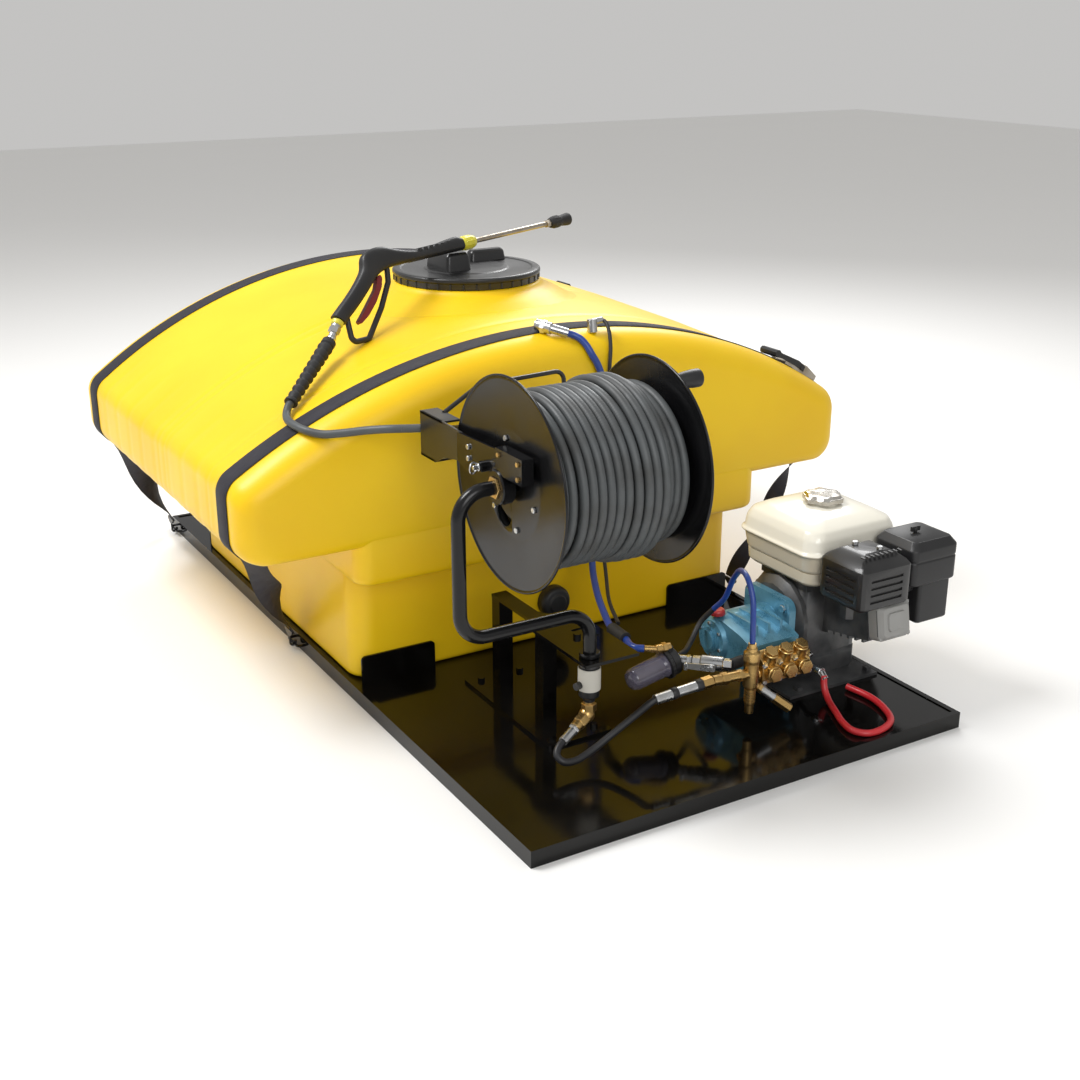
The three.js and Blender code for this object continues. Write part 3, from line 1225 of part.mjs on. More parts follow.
function drainHose() {
  const fitting = join(rod(vec(985, 262, 66), vec(985, 246, 66), 12, 6),
    rod(vec(985, 250, 66), vec(985, 232, 52), 9, 8))
  return hoseWithEnds(drainRoute, 8.2, 18, 6, fitting)
}

const valveStart = vec(638.3, 321.3, 150)
const valveEnd = vec(704, 252, 152)
const valveWay = valveEnd.clone().sub(valveStart).normalize()
const stemWay = vec(valveWay.y, -valveWay.x, 0).normalize()

// Ball valve, then a short rubber stub and its ferrule to the pump's inlet.
function suctionValve() {
  const at = (t) => valveStart.clone().lerp(valveEnd, t)
  const far = vec(manifoldX[0] + 4 - seatGap, 262, 150)
  return join(rod(at(0), at(0.3), 15, 8), rod(at(0.2), at(0.8), 18, 8), rod(at(0.7), at(1), 15, 8),
    rod(at(0.95), vec(738, 262, 151), 14, 8), rod(vec(730, 262, 150), far, 12, 8),
    rod(at(0.5), at(0.5).addScaledVector(stemWay, stemReach), 7, 8))
}

function valveLever() {
  const pivot = valveStart.clone().lerp(valveEnd, 0.5).addScaledVector(stemWay, stemReach + seatGap)
  const turn = new THREE.Matrix4().makeBasis(valveWay, stemWay.clone().cross(valveWay), stemWay)
  return join(box(-12, 12, -9, 9, 0, 4), box(-58, -8, -8, 8, 2, 6), box(-63, -54, -9, 9, 2, 10))
    .applyMatrix4(turn).translate(...pivot.toArray())
}

// ---- assembly ----------------------------------------------------------------------------------

function deckAssembly() {
  const group = new THREE.Group()
  group.add(piece('deck_frame', deckFrame(), finish.glossBlack),
    piece('deck_plate', deckPlate(), finish.glossBlack))
  return group
}

function tankAssembly() {
  const group = new THREE.Group()
  group.add(piece('tank_shell', tankShell(), finish.tankYellow),
    piece('tank_lid', tankLid(), finish.satinBlack))
  const labels = ['front', 'rear']
  labels.forEach((label, k) => {
    const y = strapCentres[k]
    const [leftHook, rightHook] = [hookPlaces(-1)[k], hookPlaces(1)[k]]
    const ratchet = ratchetPlace(y)
    ratchet.add(piece(`ratchet_frame_${label}`, ratchetFrame(), finish.zinc),
      piece(`ratchet_handle_${label}`, ratchetHandle(), finish.zinc))
    group.add(
      piece(`strap_${label}`, strapOver(y, leftHook), finish.webbing),
      piece(`strap_tail_${label}`, strapTail(y, rightHook, k === 0 ? 1 : 0.5), finish.webbing),
      piece(`hook_${label}_left`, strapHook(-1, leftHook), finish.satinBlack),
      piece(`hook_${label}_right`, strapHook(1, rightHook), finish.satinBlack),
      ratchet,
    )
  })
  return group
}

function reelAssembly() {
  const group = new THREE.Group()
  group.add(
    piece('reel_stand', reelStand(), finish.glossBlack),
    piece('swivel_housing', swivelHousing(), finish.satinBlack),
    piece('swivel_elbow', swivelElbow(), finish.brass),
    piece('reel_arm', reelArm(), finish.glossBlack),
    piece('hose_guide', hoseGuide(), finish.satinBlack),
    piece('reel_drum', reelDrum(), finish.glossBlack),
    piece('reel_flange_left', reelFlange(flangeLeftX, -1), finish.glossBlack),
    piece('reel_flange_right', reelFlange(flangeRightX, 1), finish.glossBlack),
    piece('hose_core', hoseCore(), finish.hoseGrey),
    piece('wound_hose', woundHose(), finish.hoseGrey),
    piece('hose_lead', hoseLead(), finish.hoseGrey),
    piece('crank_knob', crankKnob(), finish.plasticBlack),
    piece('reel_lock_pin', reelLockPin(), finish.zinc),
  )
  return group
}

function gunAssembly() {
  const group = new THREE.Group()
  const gun = new THREE.Group()
  const { collar, lance, guard } = gunParts()
  gun.add(
    piece('gun_body', gunBody(), finish.plasticBlack),
    piece('gun_trigger', gunTrigger(), finish.capRed),
    piece('gun_collar', collar, finish.collarYellow),
    piece('gun_lance', lance, finish.steel),
    piece('nozzle_guard', guard, finish.rubberBlack),
    piece('gun_inlet', gunInlet(), finish.zinc),
  )
  gun.rotation.copy(gunTurn)
  gun.position.set(...gunPlace)
  group.add(gun, piece('bend_restrictor', bendRestrictor(), finish.rubberBlack),
    piece('gun_hose', gunHose(), finish.hoseGrey))
  return group
}

function engineAssembly() {
  const group = new THREE.Group()
  group.add(
    piece('engine_block', engineBlock(), finish.engineGrey),
    piece('fuel_tank', fuelTank(), finish.tankWhite),
    piece('fuel_cap', fuelCap(), finish.zinc),
    piece('muffler_guard', mufflerGuard(), finish.satinBlack),
    piece('air_cleaner', airCleaner(), finish.plasticBlack),
    piece('recoil_cover', recoilCover(), finish.satinBlack),
    piece('recoil_handle', recoilHandle(), finish.plasticBlack),
    piece('throttle_lever', throttleLever(), finish.plasticBlack),
    piece('engine_switch', engineSwitch(), finish.capRed),
    piece('drain_hose', drainHose(), finish.hoseRed),
  )
  return group
}

function pumpAssembly() {
  const group = new THREE.Group()
  group.add(
    piece('pump_crankcase', pumpCrankcase(), finish.pumpBlue),
    piece('pump_oil_cap', pumpOilCap(), finish.capRed),
    piece('pump_manifold', pumpManifold(), finish.brass),
    piece('unloader', unloader(), finish.brass),
    piece('injector', injector(), finish.brass),
    piece('bypass_hose', bypassHose(), finish.hoseBlue),
    piece('filter_head', filterHead(), finish.plasticBlack),
    piece('filter_bowl', filterBowl(), finish.filterSmoke),
    piece('feed_hose', feedHose(), finish.hoseBlue),
    piece('vent_hose', ventHose(), finish.hoseBlack),
    piece('pressure_hose', pressureHose(), finish.hoseBlack),
    piece('suction_valve', suctionValve(), finish.zinc),
    piece('valve_lever', valveLever(), finish.zinc),
  )
  return group
}

const deck = new THREE.Group()
deck.add(deckAssembly(), tankAssembly(), reelAssembly(), gunAssembly(), engineAssembly(), pumpAssembly())
deck.position.set(-deckWidth / 2, -deckLength / 2, deckHeight)

const washer = new THREE.Group()
washer.add(deck)

export default washer
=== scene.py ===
import json

import bmesh
import bpy
import numpy as np
from math import acos, cos, pi, radians, sin, sqrt
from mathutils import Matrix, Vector


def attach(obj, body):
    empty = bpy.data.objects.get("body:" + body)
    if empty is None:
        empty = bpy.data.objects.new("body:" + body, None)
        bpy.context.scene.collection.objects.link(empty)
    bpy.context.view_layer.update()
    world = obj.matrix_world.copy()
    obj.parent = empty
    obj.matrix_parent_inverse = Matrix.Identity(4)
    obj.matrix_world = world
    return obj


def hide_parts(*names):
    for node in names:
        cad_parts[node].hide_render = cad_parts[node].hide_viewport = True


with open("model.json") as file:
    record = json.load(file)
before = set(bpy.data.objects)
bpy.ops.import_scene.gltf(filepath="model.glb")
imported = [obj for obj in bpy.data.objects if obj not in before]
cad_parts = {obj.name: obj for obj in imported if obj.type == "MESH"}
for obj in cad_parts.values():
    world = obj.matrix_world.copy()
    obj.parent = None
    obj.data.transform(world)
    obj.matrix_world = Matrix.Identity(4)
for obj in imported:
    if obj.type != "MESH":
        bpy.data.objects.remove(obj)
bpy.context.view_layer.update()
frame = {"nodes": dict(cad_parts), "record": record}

deck = {"width": 1219.0, "length": 2400.0, "height": 38.0}
deckOrigin = np.array([deck["width"] / 2, deck["length"] / 2, -deck["height"]])
bodyOf = {node: body for body, nodes in frame["record"]["behaviour"]["bodies"].items() for node in nodes}


def toFrame(points):
    return (np.asarray(points, float) - deckOrigin) / 1000


def unit(v):
    v = np.asarray(v, float)
    return v / np.linalg.norm(v, axis=-1, keepdims=True)


def linked(name, data):
    obj = bpy.data.objects.new(name, data)
    bpy.context.scene.collection.objects.link(obj)
    return obj


cameraSettings = {"place": [-1294.1, -2219.1, 1642.4], "yaw": 30.665, "pitch": 20.4375, "lens": 48.46}


def addCamera():
    data = bpy.data.cameras.new("camera")
    data.lens, data.sensor_width = cameraSettings["lens"], 36
    camera = linked("camera", data)
    camera.location = toFrame(cameraSettings["place"])
    camera.rotation_euler = (radians(90 - cameraSettings["pitch"]), 0, -radians(cameraSettings["yaw"]))
    bpy.context.scene.camera = camera


# name: place, aim, size and power of each soft light, in metres and watts
lamps = {
    "keyLight": ((-2.6, 0.9, 4.6), (0, 0.2, 0.5), 2.2, 215),
    "fillLight": ((-1.2, -4.9, 2.8), (0, -0.6, 0.4), 2.6, 75),
    "backLight": ((2.8, 2.6, 3.6), (0, 0.0, 0.6), 2.2, 120),
}


def addLights():
    for name, (place, aim, size, power) in lamps.items():
        data = bpy.data.lights.new(name, "AREA")
        data.shape, data.size, data.energy = "DISK", size, power
        lamp = linked(name, data)
        lamp.location = place
        lamp.rotation_euler = (Vector(aim) - Vector(place)).to_track_quat("-Z", "Y").to_euler()
    world = bpy.data.worlds.new("studio")
    world.use_nodes = True
    sky = world.node_tree.nodes["Background"]
    sky.inputs["Color"].default_value = (1.0, 0.99, 0.975, 1)
    sky.inputs["Strength"].default_value = 0.55
    bpy.context.scene.world = world
    bpy.context.scene.view_settings.view_transform = "Standard"


class Wire:
    def __init__(self, shade, socket):
        self.shade, self.socket = shade, socket

    def math(self, operation, *others):
        return self.shade.node("ShaderNodeMath", {"operation": operation}, dict(enumerate((self, *others))))

    def __add__(self, other):
        return self.math("ADD", other)

    def __mul__(self, other):
        return self.math("MULTIPLY", other)

    def __sub__(self, other):
        return self.math("SUBTRACT", other)

    def __truediv__(self, other):
        return self.math("DIVIDE", other)


class Shade:
    def __init__(self, name):
        self.material = bpy.data.materials.new(name)
        self.material.use_nodes = True
        self.tree = self.material.node_tree
        self.surface = self.tree.nodes["Principled BSDF"]

    # kind of node, its settings (a ramp's stops among them), its sockets' values or links, and which output
    def node(self, kind, settings=None, inputs=None, output=0):
        made = self.tree.nodes.new(kind)
        for name, value in (settings or {}).items():
            if name == "stops":
                ramp = made.color_ramp
                while len(ramp.elements) < len(value):
                    ramp.elements.new(0.5)
                for element, (place, grey) in zip(ramp.elements, value):
                    element.position = place
                    element.color = (grey, grey, grey, 1)
            else:
                setattr(made, name, value)
        self.feed(made, inputs or {})
        return Wire(self, made.outputs[output])

    def feed(self, made, inputs):
        for name, value in inputs.items():
            if isinstance(value, Wire):
                self.tree.links.new(value.socket, made.inputs[name])
            elif value is not None:
                made.inputs[name].default_value = value

    def place(self, source="Object"):
        return self.node("ShaderNodeTexCoord", output=source)

    def part(self, which, source="Object"):
        return self.node("ShaderNodeSeparateXYZ", inputs={"Vector": self.place(source)}, output=which)

    def stretched(self, scale):
        return self.node("ShaderNodeMapping", inputs={"Vector": self.place(), "Scale": scale})

    def noise(self, scale, detail, vector=None):
        return self.node("ShaderNodeTexNoise", inputs={
            "Vector": vector or self.place(), "Scale": scale, "Detail": detail})

    def ramp(self, wire, *stops):
        return self.node("ShaderNodeValToRGB", {"stops": stops}, {"Fac": wire})

    # sockets 6 and 7 are the two colours, output 2 the mixed colour
    def mix(self, factor, *colours):
        ends = [(*colour, 1) if isinstance(colour, tuple) else colour for colour in colours]
        return self.node("ShaderNodeMix", {"data_type": "RGBA"}, {"Factor": factor, 6: ends[0], 7: ends[1]}, output=2)

    def bump(self, height, distance):
        return self.node("ShaderNodeBump", inputs={"Height": height, "Distance": distance, "Strength": 1.0})

    def done(self, **sockets):
        self.feed(self.surface, {name.replace("_", " "): value for name, value in sockets.items()})
        return self.material


# the plain coats: colour, colour of the dust, roughness, clear coat, waviness in metres and, where it is
# below the usual 0.5, the shine
coats = {
    "glossBlack": ((0.0028, 0.0025, 0.0022), (0.010, 0.009, 0.008), 0.05, 0.0, 3e-5, 0.28),
    "reelBlack": ((0.004, 0.004, 0.0045), (0.012, 0.012, 0.013), 0.17, 0.0, 5e-5, 0.34),
    "satinBlack": ((0.006, 0.006, 0.0065), (0.035, 0.034, 0.034), 0.34, 0.25, 6e-5),
    "plasticBlack": ((0.009, 0.009, 0.010), (0.04, 0.04, 0.04), 0.42, 0.0, 9e-5),
    "rubberBlack": ((0.011, 0.011, 0.012), (0.045, 0.044, 0.043), 0.62, 0.0, 1.2e-4),
    "collarYellow": ((0.62, 0.56, 0.03), (0.45, 0.41, 0.10), 0.36, 0.2, 3e-5),
    "capRed": ((0.42, 0.008, 0.012), (0.30, 0.05, 0.05), 0.30, 0.3, 3e-5),
    "triggerRed": ((0.16, 0.006, 0.008), (0.12, 0.03, 0.03), 0.45, 0.0, 5e-5),
    "hoseBlue": ((0.010, 0.045, 0.26), (0.03, 0.07, 0.26), 0.30, 0.2, 3e-5),
    "hoseRed": ((0.55, 0.018, 0.025), (0.42, 0.06, 0.06), 0.34, 0.2, 5e-5),
    "hoseBlack": ((0.010, 0.010, 0.012), (0.04, 0.04, 0.04), 0.44, 0.0, 8e-5),
    "coverGrey": ((0.30, 0.30, 0.29), (0.20, 0.19, 0.17), 0.40, 0.0, 2e-4),
    "paleBand": ((0.56, 0.54, 0.48), (0.40, 0.38, 0.33), 0.5, 0.0, 4e-5),
}


# A painted or moulded coat: base colour dulled by patches of dust, a little roughness drift, fine waviness.
def coat(name):
    colour, dust, rough, clear, speck, *shine = coats[name]
    shade = Shade(name)
    patch = shade.ramp(shade.noise(7, 5), (0.42, 0), (0.75, 1))
    fine = shade.noise(160, 2)
    return shade.done(
        Base_Color=shade.mix(patch * 0.35, colour, dust), Roughness=patch * 0.10 + fine * 0.05 + rough,
        Coat_Weight=clear, Coat_Roughness=0.04, Specular_IOR_Level=shine[0] if shine else 0.5,
        Normal=shade.bump(shade.noise(220, 2), speck))


metals = {
    "zinc": dict(color=(0.56, 0.57, 0.58), stain=(0.30, 0.29, 0.27), rough=0.24, grain=(30, 30, 30)),
    "steel": dict(color=(0.40, 0.36, 0.30), stain=(0.22, 0.17, 0.11), rough=0.28, grain=(8, 90, 90)),
    "brass": dict(color=(0.56, 0.37, 0.14), stain=(0.26, 0.15, 0.05), rough=0.26, grain=(40, 40, 40)),
    "capSteel": dict(color=(0.62, 0.60, 0.56), stain=(0.34, 0.30, 0.25), rough=0.16, grain=(14, 14, 60)),
}


# Bare or plated metal: dark stains in the hollows of a noise, and fine machining grain.
def metal(name):
    v = metals[name]
    shade = Shade(name)
    stain = shade.ramp(shade.noise(26, 4), (0.45, 0), (0.72, 1))
    grain = shade.noise(8, 4, shade.stretched(v["grain"]))
    return shade.done(
        Base_Color=shade.mix(stain * 0.6, v["color"], v["stain"]), Metallic=1.0,
        Roughness=stain * 0.18 + grain * 0.14 + v["rough"] - 0.05,
        Normal=shade.bump(grain, 6e-5))


castings = {
    "engineGrey": dict(color=(0.050, 0.052, 0.055), edge=(0.12, 0.12, 0.12), metallic=0.5, rough=0.42),
    "pumpBlue": dict(color=(0.075, 0.235, 0.345), edge=(0.14, 0.36, 0.50), metallic=0.35, rough=0.26),
}


# Sand-cast metal under paint: grainy bump, paler where the noise stands proud.
def casting(name):
    v = castings[name]
    shade = Shade(name)
    broad = shade.ramp(shade.noise(18, 5), (0.35, 0), (0.7, 1))
    pits = shade.noise(420, 3)
    return shade.done(
        Base_Color=shade.mix(broad, v["color"], v["edge"]), Metallic=v["metallic"],
        Roughness=broad * 0.12 + pits * 0.16 + v["rough"] - 0.08, Coat_Weight=0.3, Coat_Roughness=0.15,
        Normal=shade.bump(pits, 2.2e-4))


tankColours = {"high": (0.88, 0.58, 0.006), "low": (0.82, 0.50, 0.003), "rough": 0.36}


# Moulded polyethylene: warm yellow with slow shifts of depth, orange-peel bump and a soft sheen.
def tankYellow():
    shade = Shade("tankYellow")
    slow = shade.ramp(shade.noise(2.2, 3), (0.3, 0), (0.7, 1))
    peel = shade.noise(95, 2)
    return shade.done(
        Base_Color=shade.mix(slow, tankColours["high"], tankColours["low"]),
        Roughness=slow * 0.05 + peel * 0.06 + tankColours["rough"],
        Subsurface_Weight=0.04, Coat_Weight=0.06, Coat_Roughness=0.3, Specular_IOR_Level=0.35,
        Normal=shade.bump(peel, 1.6e-4))


# Webbing: UV runs along the band in metres and across it from 0 to 1. Slanted ribs of the weave over
# lengthwise ones, height = 0.6 sin(2 pi (u / 0.0022 + 9 v)) + 0.4 sin(2 pi 17 v), with darker edges.
def webbing():
    shade = Shade("webbing")
    along, across = shade.part(0, "UV"), shade.part(1, "UV")
    ribs = (along * (2 * pi / 0.0022) + across * (2 * pi * 9)).math("SINE")
    cross = (across * (2 * pi * 17)).math("SINE")
    edge = shade.ramp((across - 0.5).math("ABSOLUTE"), (0.40, 0), (0.47, 1))
    wear = shade.noise(40, 4)
    return shade.done(
        Base_Color=shade.mix(edge * 0.5 + wear * 0.4, (0.017, 0.015, 0.023), (0.008, 0.007, 0.011)),
        Roughness=wear * 0.15 + 0.66, Sheen_Weight=0.0,
        Normal=shade.bump(ribs * 0.6 + cross * 0.4, 3.5e-4))


hoseColours = {"face": (0.070, 0.077, 0.080), "dirt": (0.045, 0.046, 0.045), "rough": 0.46}


# Smooth hose cover with a faint wrapped-cloth mark every few millimetres of its length (UV u in metres).
def hoseGrey():
    shade = Shade("hoseGrey")
    along = shade.part(0, "UV")
    wrap = (along * (2 * pi / 0.006)).math("SINE")
    dirt = shade.ramp(shade.noise(14, 5), (0.4, 0), (0.75, 1))
    return shade.done(
        Base_Color=shade.mix(dirt, hoseColours["face"], hoseColours["dirt"]),
        Roughness=dirt * 0.12 + hoseColours["rough"],
        Normal=shade.bump(wrap * 0.5 + shade.noise(300, 2), 1.0e-4))


# Smoked clear plastic of the strainer bowl: a thin grey-violet shell with a paler mesh inside it.
def filterSmoke():
    shade = Shade("filterSmoke")
    cloud = shade.noise(40, 3)
    return shade.done(
        Base_Color=shade.mix(cloud, (0.085, 0.075, 0.115), (0.16, 0.15, 0.20)),
        Roughness=cloud * 0.08 + 0.08, Alpha=0.72, Coat_Weight=0.6, Coat_Roughness=0.03,
        Normal=shade.bump(cloud, 1e-4))


# Cream enamel above the seam, tan below it, split by height in metres.
def fuelTankPaint(seam):
    shade = Shade("fuelTankPaint")
    height = shade.part(2)
    lower = shade.ramp((height - (seam - 0.002)) / 0.004, (0.0, 1), (1.0, 0))
    soft = shade.noise(9, 3)
    upper = shade.mix(soft * 0.3, (0.80, 0.775, 0.68), (0.72, 0.66, 0.52))
    under = shade.mix(soft * 0.5, (0.60, 0.54, 0.42), (0.66, 0.61, 0.49))
    return shade.done(
        Base_Color=shade.mix(lower, upper, under), Roughness=soft * 0.08 + 0.2,
        Coat_Weight=0.5, Coat_Roughness=0.06, Normal=shade.bump(shade.noise(60, 2), 5e-5))


finishes = {}
for make, names in ((coat, coats), (metal, metals), (casting, castings)):
    finishes.update({name: make(name) for name in names})
finishes.update(tankYellow=tankYellow(), webbing=webbing(), hoseGrey=hoseGrey(), filterSmoke=filterSmoke())
print("finishes made:", len(finishes))


# Surfaces gathered as arrays before they become one mesh. A grid is rows x columns of points; the last
# column joins the first, and the first and last rows are closed by flat faces.
class Form:
    def __init__(self):
        self.points, self.faces, self.uvs, self.count = [], [], [], 0

    def grid(self, points, closedRows=False, lengthwise=None):
        points = np.asarray(points, float)
        rows, columns = points.shape[:2]
        ids = np.arange(rows * columns).reshape(rows, columns)
        if closedRows:
            ids = np.vstack([ids, ids[:1]])
        near, far = ids[:-1], ids[1:]
        quads = np.stack([near, np.roll(near, -1, 1), np.roll(far, -1, 1), far], -1).reshape(-1, 4)
        steps = np.linalg.norm(np.diff(points.mean(1), axis=0), axis=1)
        u = np.concatenate([[0], np.cumsum(steps)]) / 1000 if lengthwise is None else np.asarray(lengthwise)
        if closedRows:
            u = np.append(u, u[-1] + steps.mean() / 1000)
        v = np.linspace(0, 1, columns + 1)
        pairs = [np.stack(np.broadcast_arrays(a, b), -1) for a, b in (
            (u[:-1, None], v[None, :-1]), (u[:-1, None], v[None, 1:]),
            (u[1:, None], v[None, 1:]), (u[1:, None], v[None, :-1]))]
        uv = np.stack(pairs, 2).reshape(-1, 4, 2)
        flat = points.reshape(-1, 3)
        a, b, c, d = (flat[quads[:, k]] for k in range(4))
        middle = flat.mean(0)
        volume = np.einsum("ij,ij->", a - middle, np.cross(b - middle, c - middle) + np.cross(c - middle, d - middle))
        ends = []
        if not closedRows:
            ends = [ids[0][::-1], ids[-1]]
            for ring in ends:
                p = flat[ring] - middle
                volume += np.einsum("ij,ij->", p[0][None], np.cross(p, np.roll(p, -1, 0)))
        if volume < 0:
            quads, uv, ends = quads[:, ::-1], uv[:, ::-1], [ring[::-1] for ring in ends]
        self.points.append(flat)
        self.faces += (quads + self.count).tolist() + [(ring + self.count).tolist() for ring in ends]
        self.uvs += [uv.reshape(-1, 2)] + [np.zeros((len(ring), 2)) for ring in ends]
        self.count += len(flat)

    def mesh(self, name, smoothAngle):
        made = bpy.data.meshes.new(name)
        made.from_pydata(toFrame(np.concatenate(self.points)), [], self.faces)
        layer = made.uv_layers.new(name="UVMap")
        layer.data.foreach_set("uv", np.concatenate(self.uvs).astype(np.float32).ravel())
        made.shade_smooth()
        made.set_sharp_from_angle(angle=radians(smoothAngle))
        return made


# Puts a mesh in the scene, with its edges rounded by a bevel if asked, on its node's body. It replaces
# that node, unless it is only a trim that rides along.
def placed(name, mesh, node, finish, bevel=None, trim=False):
    obj = linked(name, mesh)
    if bevel:
        modifier = obj.modifiers.new("edges", "BEVEL")
        modifier.width, modifier.segments = bevel / 1000, 2
        modifier.limit_method, modifier.angle_limit = "ANGLE", radians(32)
    mesh.materials.append(finishes[finish] if isinstance(finish, str) else finish)
    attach(obj, bodyOf[node])
    if not trim:
        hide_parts(node)
    return obj


def addForm(name, form, node, finish, smoothAngle=38, bevel=None, trim=False):
    return placed(name, form.mesh(name, smoothAngle), node, finish, bevel, trim)


# A finer copy of a rigid CAD node: corners merged, flat faces joined, edges rounded by a bevel.
def refined(node, finish, bevel):
    mesh = frame["nodes"][node].data.copy()
    mesh.materials.clear()
    shell = bmesh.new()
    shell.from_mesh(mesh)
    bmesh.ops.remove_doubles(shell, verts=shell.verts, dist=2e-5)
    bmesh.ops.dissolve_limit(shell, angle_limit=radians(1.0), verts=shell.verts, edges=shell.edges)
    shell.to_mesh(mesh)
    shell.free()
    for layer in list(mesh.attributes):
        if layer.name in ("custom_normal", "sharp_edge", "sharp_face"):
            mesh.attributes.remove(layer)
    mesh.shade_smooth()
    mesh.set_sharp_from_angle(angle=radians(42))
    return placed(node + ".fine", mesh, node, finish, bevel)


# Distance run at each point of a path, from its first.
def distances(path):
    return np.concatenate([[0], np.cumsum(np.linalg.norm(np.diff(path, axis=0), axis=1))])


# A polyline with every inner corner turned into an arc-like curve: the corner p between a and b becomes
# (1-t)^2 a + 2t(1-t) p + t^2 b, with a and b at most the given reach away from p.
def rounded(points, reach, steps=4):
    p = np.asarray(points, float)
    before, here, after = p[:-2], p[1:-1], p[2:]
    inward, outward = before - here, after - here
    lengths = [np.linalg.norm(v, axis=1, keepdims=True) for v in (inward, outward)]
    a = here + inward / np.maximum(lengths[0], 1e-9) * np.minimum(reach, lengths[0] * 0.48)
    b = here + outward / np.maximum(lengths[1], 1e-9) * np.minimum(reach, lengths[1] * 0.48)
    t = np.linspace(0, 1, steps + 1)[None, :, None]
    arcs = (1 - t) ** 2 * a[:, None] + 2 * t * (1 - t) * here[:, None] + t ** 2 * b[:, None]
    return np.vstack([p[:1], arcs.reshape(-1, p.shape[1]), p[-1:]])


# A closed outline with every corner but the first rounded.
def roundedRing(points, reach, steps=4):
    return rounded(points + points[:1], reach, steps)[:-1]


# Two directions square to an axis.
def crossAxes(axis):
    axis = unit(axis)
    side = np.array([0, 0, 1.0]) if abs(axis[2]) < 0.9 else np.array([1.0, 0, 0])
    first = unit(np.cross(side, axis))
    return axis, first, np.cross(axis, first)


# A profile of [radius, distance] turned about an axis: point = origin + d axis + r (cos a e1 + sin a e2).
def turned(form, profile, origin, axis, segments=48, round=0.0, steps=3, closed=False):
    profile = np.asarray(profile, float)
    if round:
        profile = rounded(profile, round, steps)
    axis, first, second = crossAxes(axis)
    angle = np.linspace(0, 2 * pi, segments, endpoint=False)
    circle = np.cos(angle)[:, None] * first + np.sin(angle)[:, None] * second
    points = np.asarray(origin, float) + profile[:, 1][:, None, None] * axis + profile[:, 0][:, None, None] * circle
    if not closed:
        points = points[profile[:, 0] > 1e-6]
    form.grid(points, closedRows=closed)


def rod(form, start, end, radius, sides, endRadius=None, edge=0.8):
    start, end = np.asarray(start, float), np.asarray(end, float)
    length = np.linalg.norm(end - start)
    last = radius if endRadius is None else endRadius
    edge = min(edge, radius * 0.4, length * 0.3)
    profile = [[radius - edge, 0], [radius, edge], [last, length - edge], [last - edge, length]]
    turned(form, profile, start, end - start, sides)


# A hexagon of a given corner radius between two points, its corners chamfered at both faces.
def hexagon(form, start, end, radius):
    rod(form, start, end, radius, 6, edge=1.2)


# Rods and nuts from a table of [start, end, radius, sides, edge]; without an edge, six sides make a nut.
# Given an origin and a way, start and end are distances along that line.
def runs(form, rows, origin=None, way=None, shift=(0, 0, 0)):
    for start, end, radius, sides, *edge in rows:
        if way is None:
            start, end = np.asarray(start) + shift, np.asarray(end) + shift
        else:
            start, end = (np.asarray(origin) + np.asarray(way) * d for d in (start, end))
        rod(form, start, end, radius, sides, edge=edge[0] if edge else 1.2 if sides == 6 else 0.8)


# A piece of rods and nuts only, which rides on a node's body or replaces the node.
def addRuns(name, rows, node, finish, trim=True, **line):
    form = Form()
    runs(form, rows, **line)
    return addForm(name, form, node, finish, trim=trim)


# Ribs on a round grip: a count of small rods on a circle round its axis, from e1 of crossAxes on.
def knurl(form, origin, axis, count, circle, start, end, radius, sides, turn=0.0):
    axis, first, second = crossAxes(axis)
    for a in 2 * pi * np.arange(count) / count + turn:
        foot = np.asarray(origin, float) + circle * (first * cos(a) + second * sin(a))
        rod(form, foot + axis * start, foot + axis * end, radius, sides)


# A ball: a half circle turned about Z, with small flat faces for its poles.
def ball(form, centre, radius):
    a = np.linspace(0, pi, 13)[1:-1]
    turned(form, np.stack([radius * np.sin(a), -radius * np.cos(a)], -1), centre, [0, 0, 1], 32)


# Frames along a path by the double reflection of one frame into the next.
def pathFrames(path):
    path = np.asarray(path, float)
    steps = unit(np.diff(path, axis=0))
    tangents = unit(np.vstack([steps[:1], steps[:-1] + steps[1:], steps[-1:]]))
    normal = crossAxes(tangents[0])[1]
    normals = [normal]
    for i in range(len(path) - 1):
        v = path[i + 1] - path[i]
        c = v @ v
        mirrored = normals[-1] - 2 / c * (v @ normals[-1]) * v
        turnedTangent = tangents[i] - 2 / c * (v @ tangents[i]) * v
        w = tangents[i + 1] - turnedTangent
        k = w @ w
        normals.append(mirrored if k < 1e-12 else mirrored - 2 / k * (w @ mirrored) * w)
    normals = np.array(normals)
    return normals, np.cross(tangents, normals)


# A round section carried along a path: point = path + r (cos a n + sin a b); radius may vary along it.
def tube(form, path, radius, sides=16, closed=False):
    path = np.asarray(path, float)
    normals, binormals = pathFrames(path)
    angle = np.linspace(0, 2 * pi, sides, endpoint=False)
    radius = np.broadcast_to(np.asarray(radius, float), len(path))[:, None, None]
    ring = np.cos(angle)[None, :, None] * normals[:, None] + np.sin(angle)[None, :, None] * binormals[:, None]
    form.grid(path[:, None] + radius * ring, closedRows=closed)


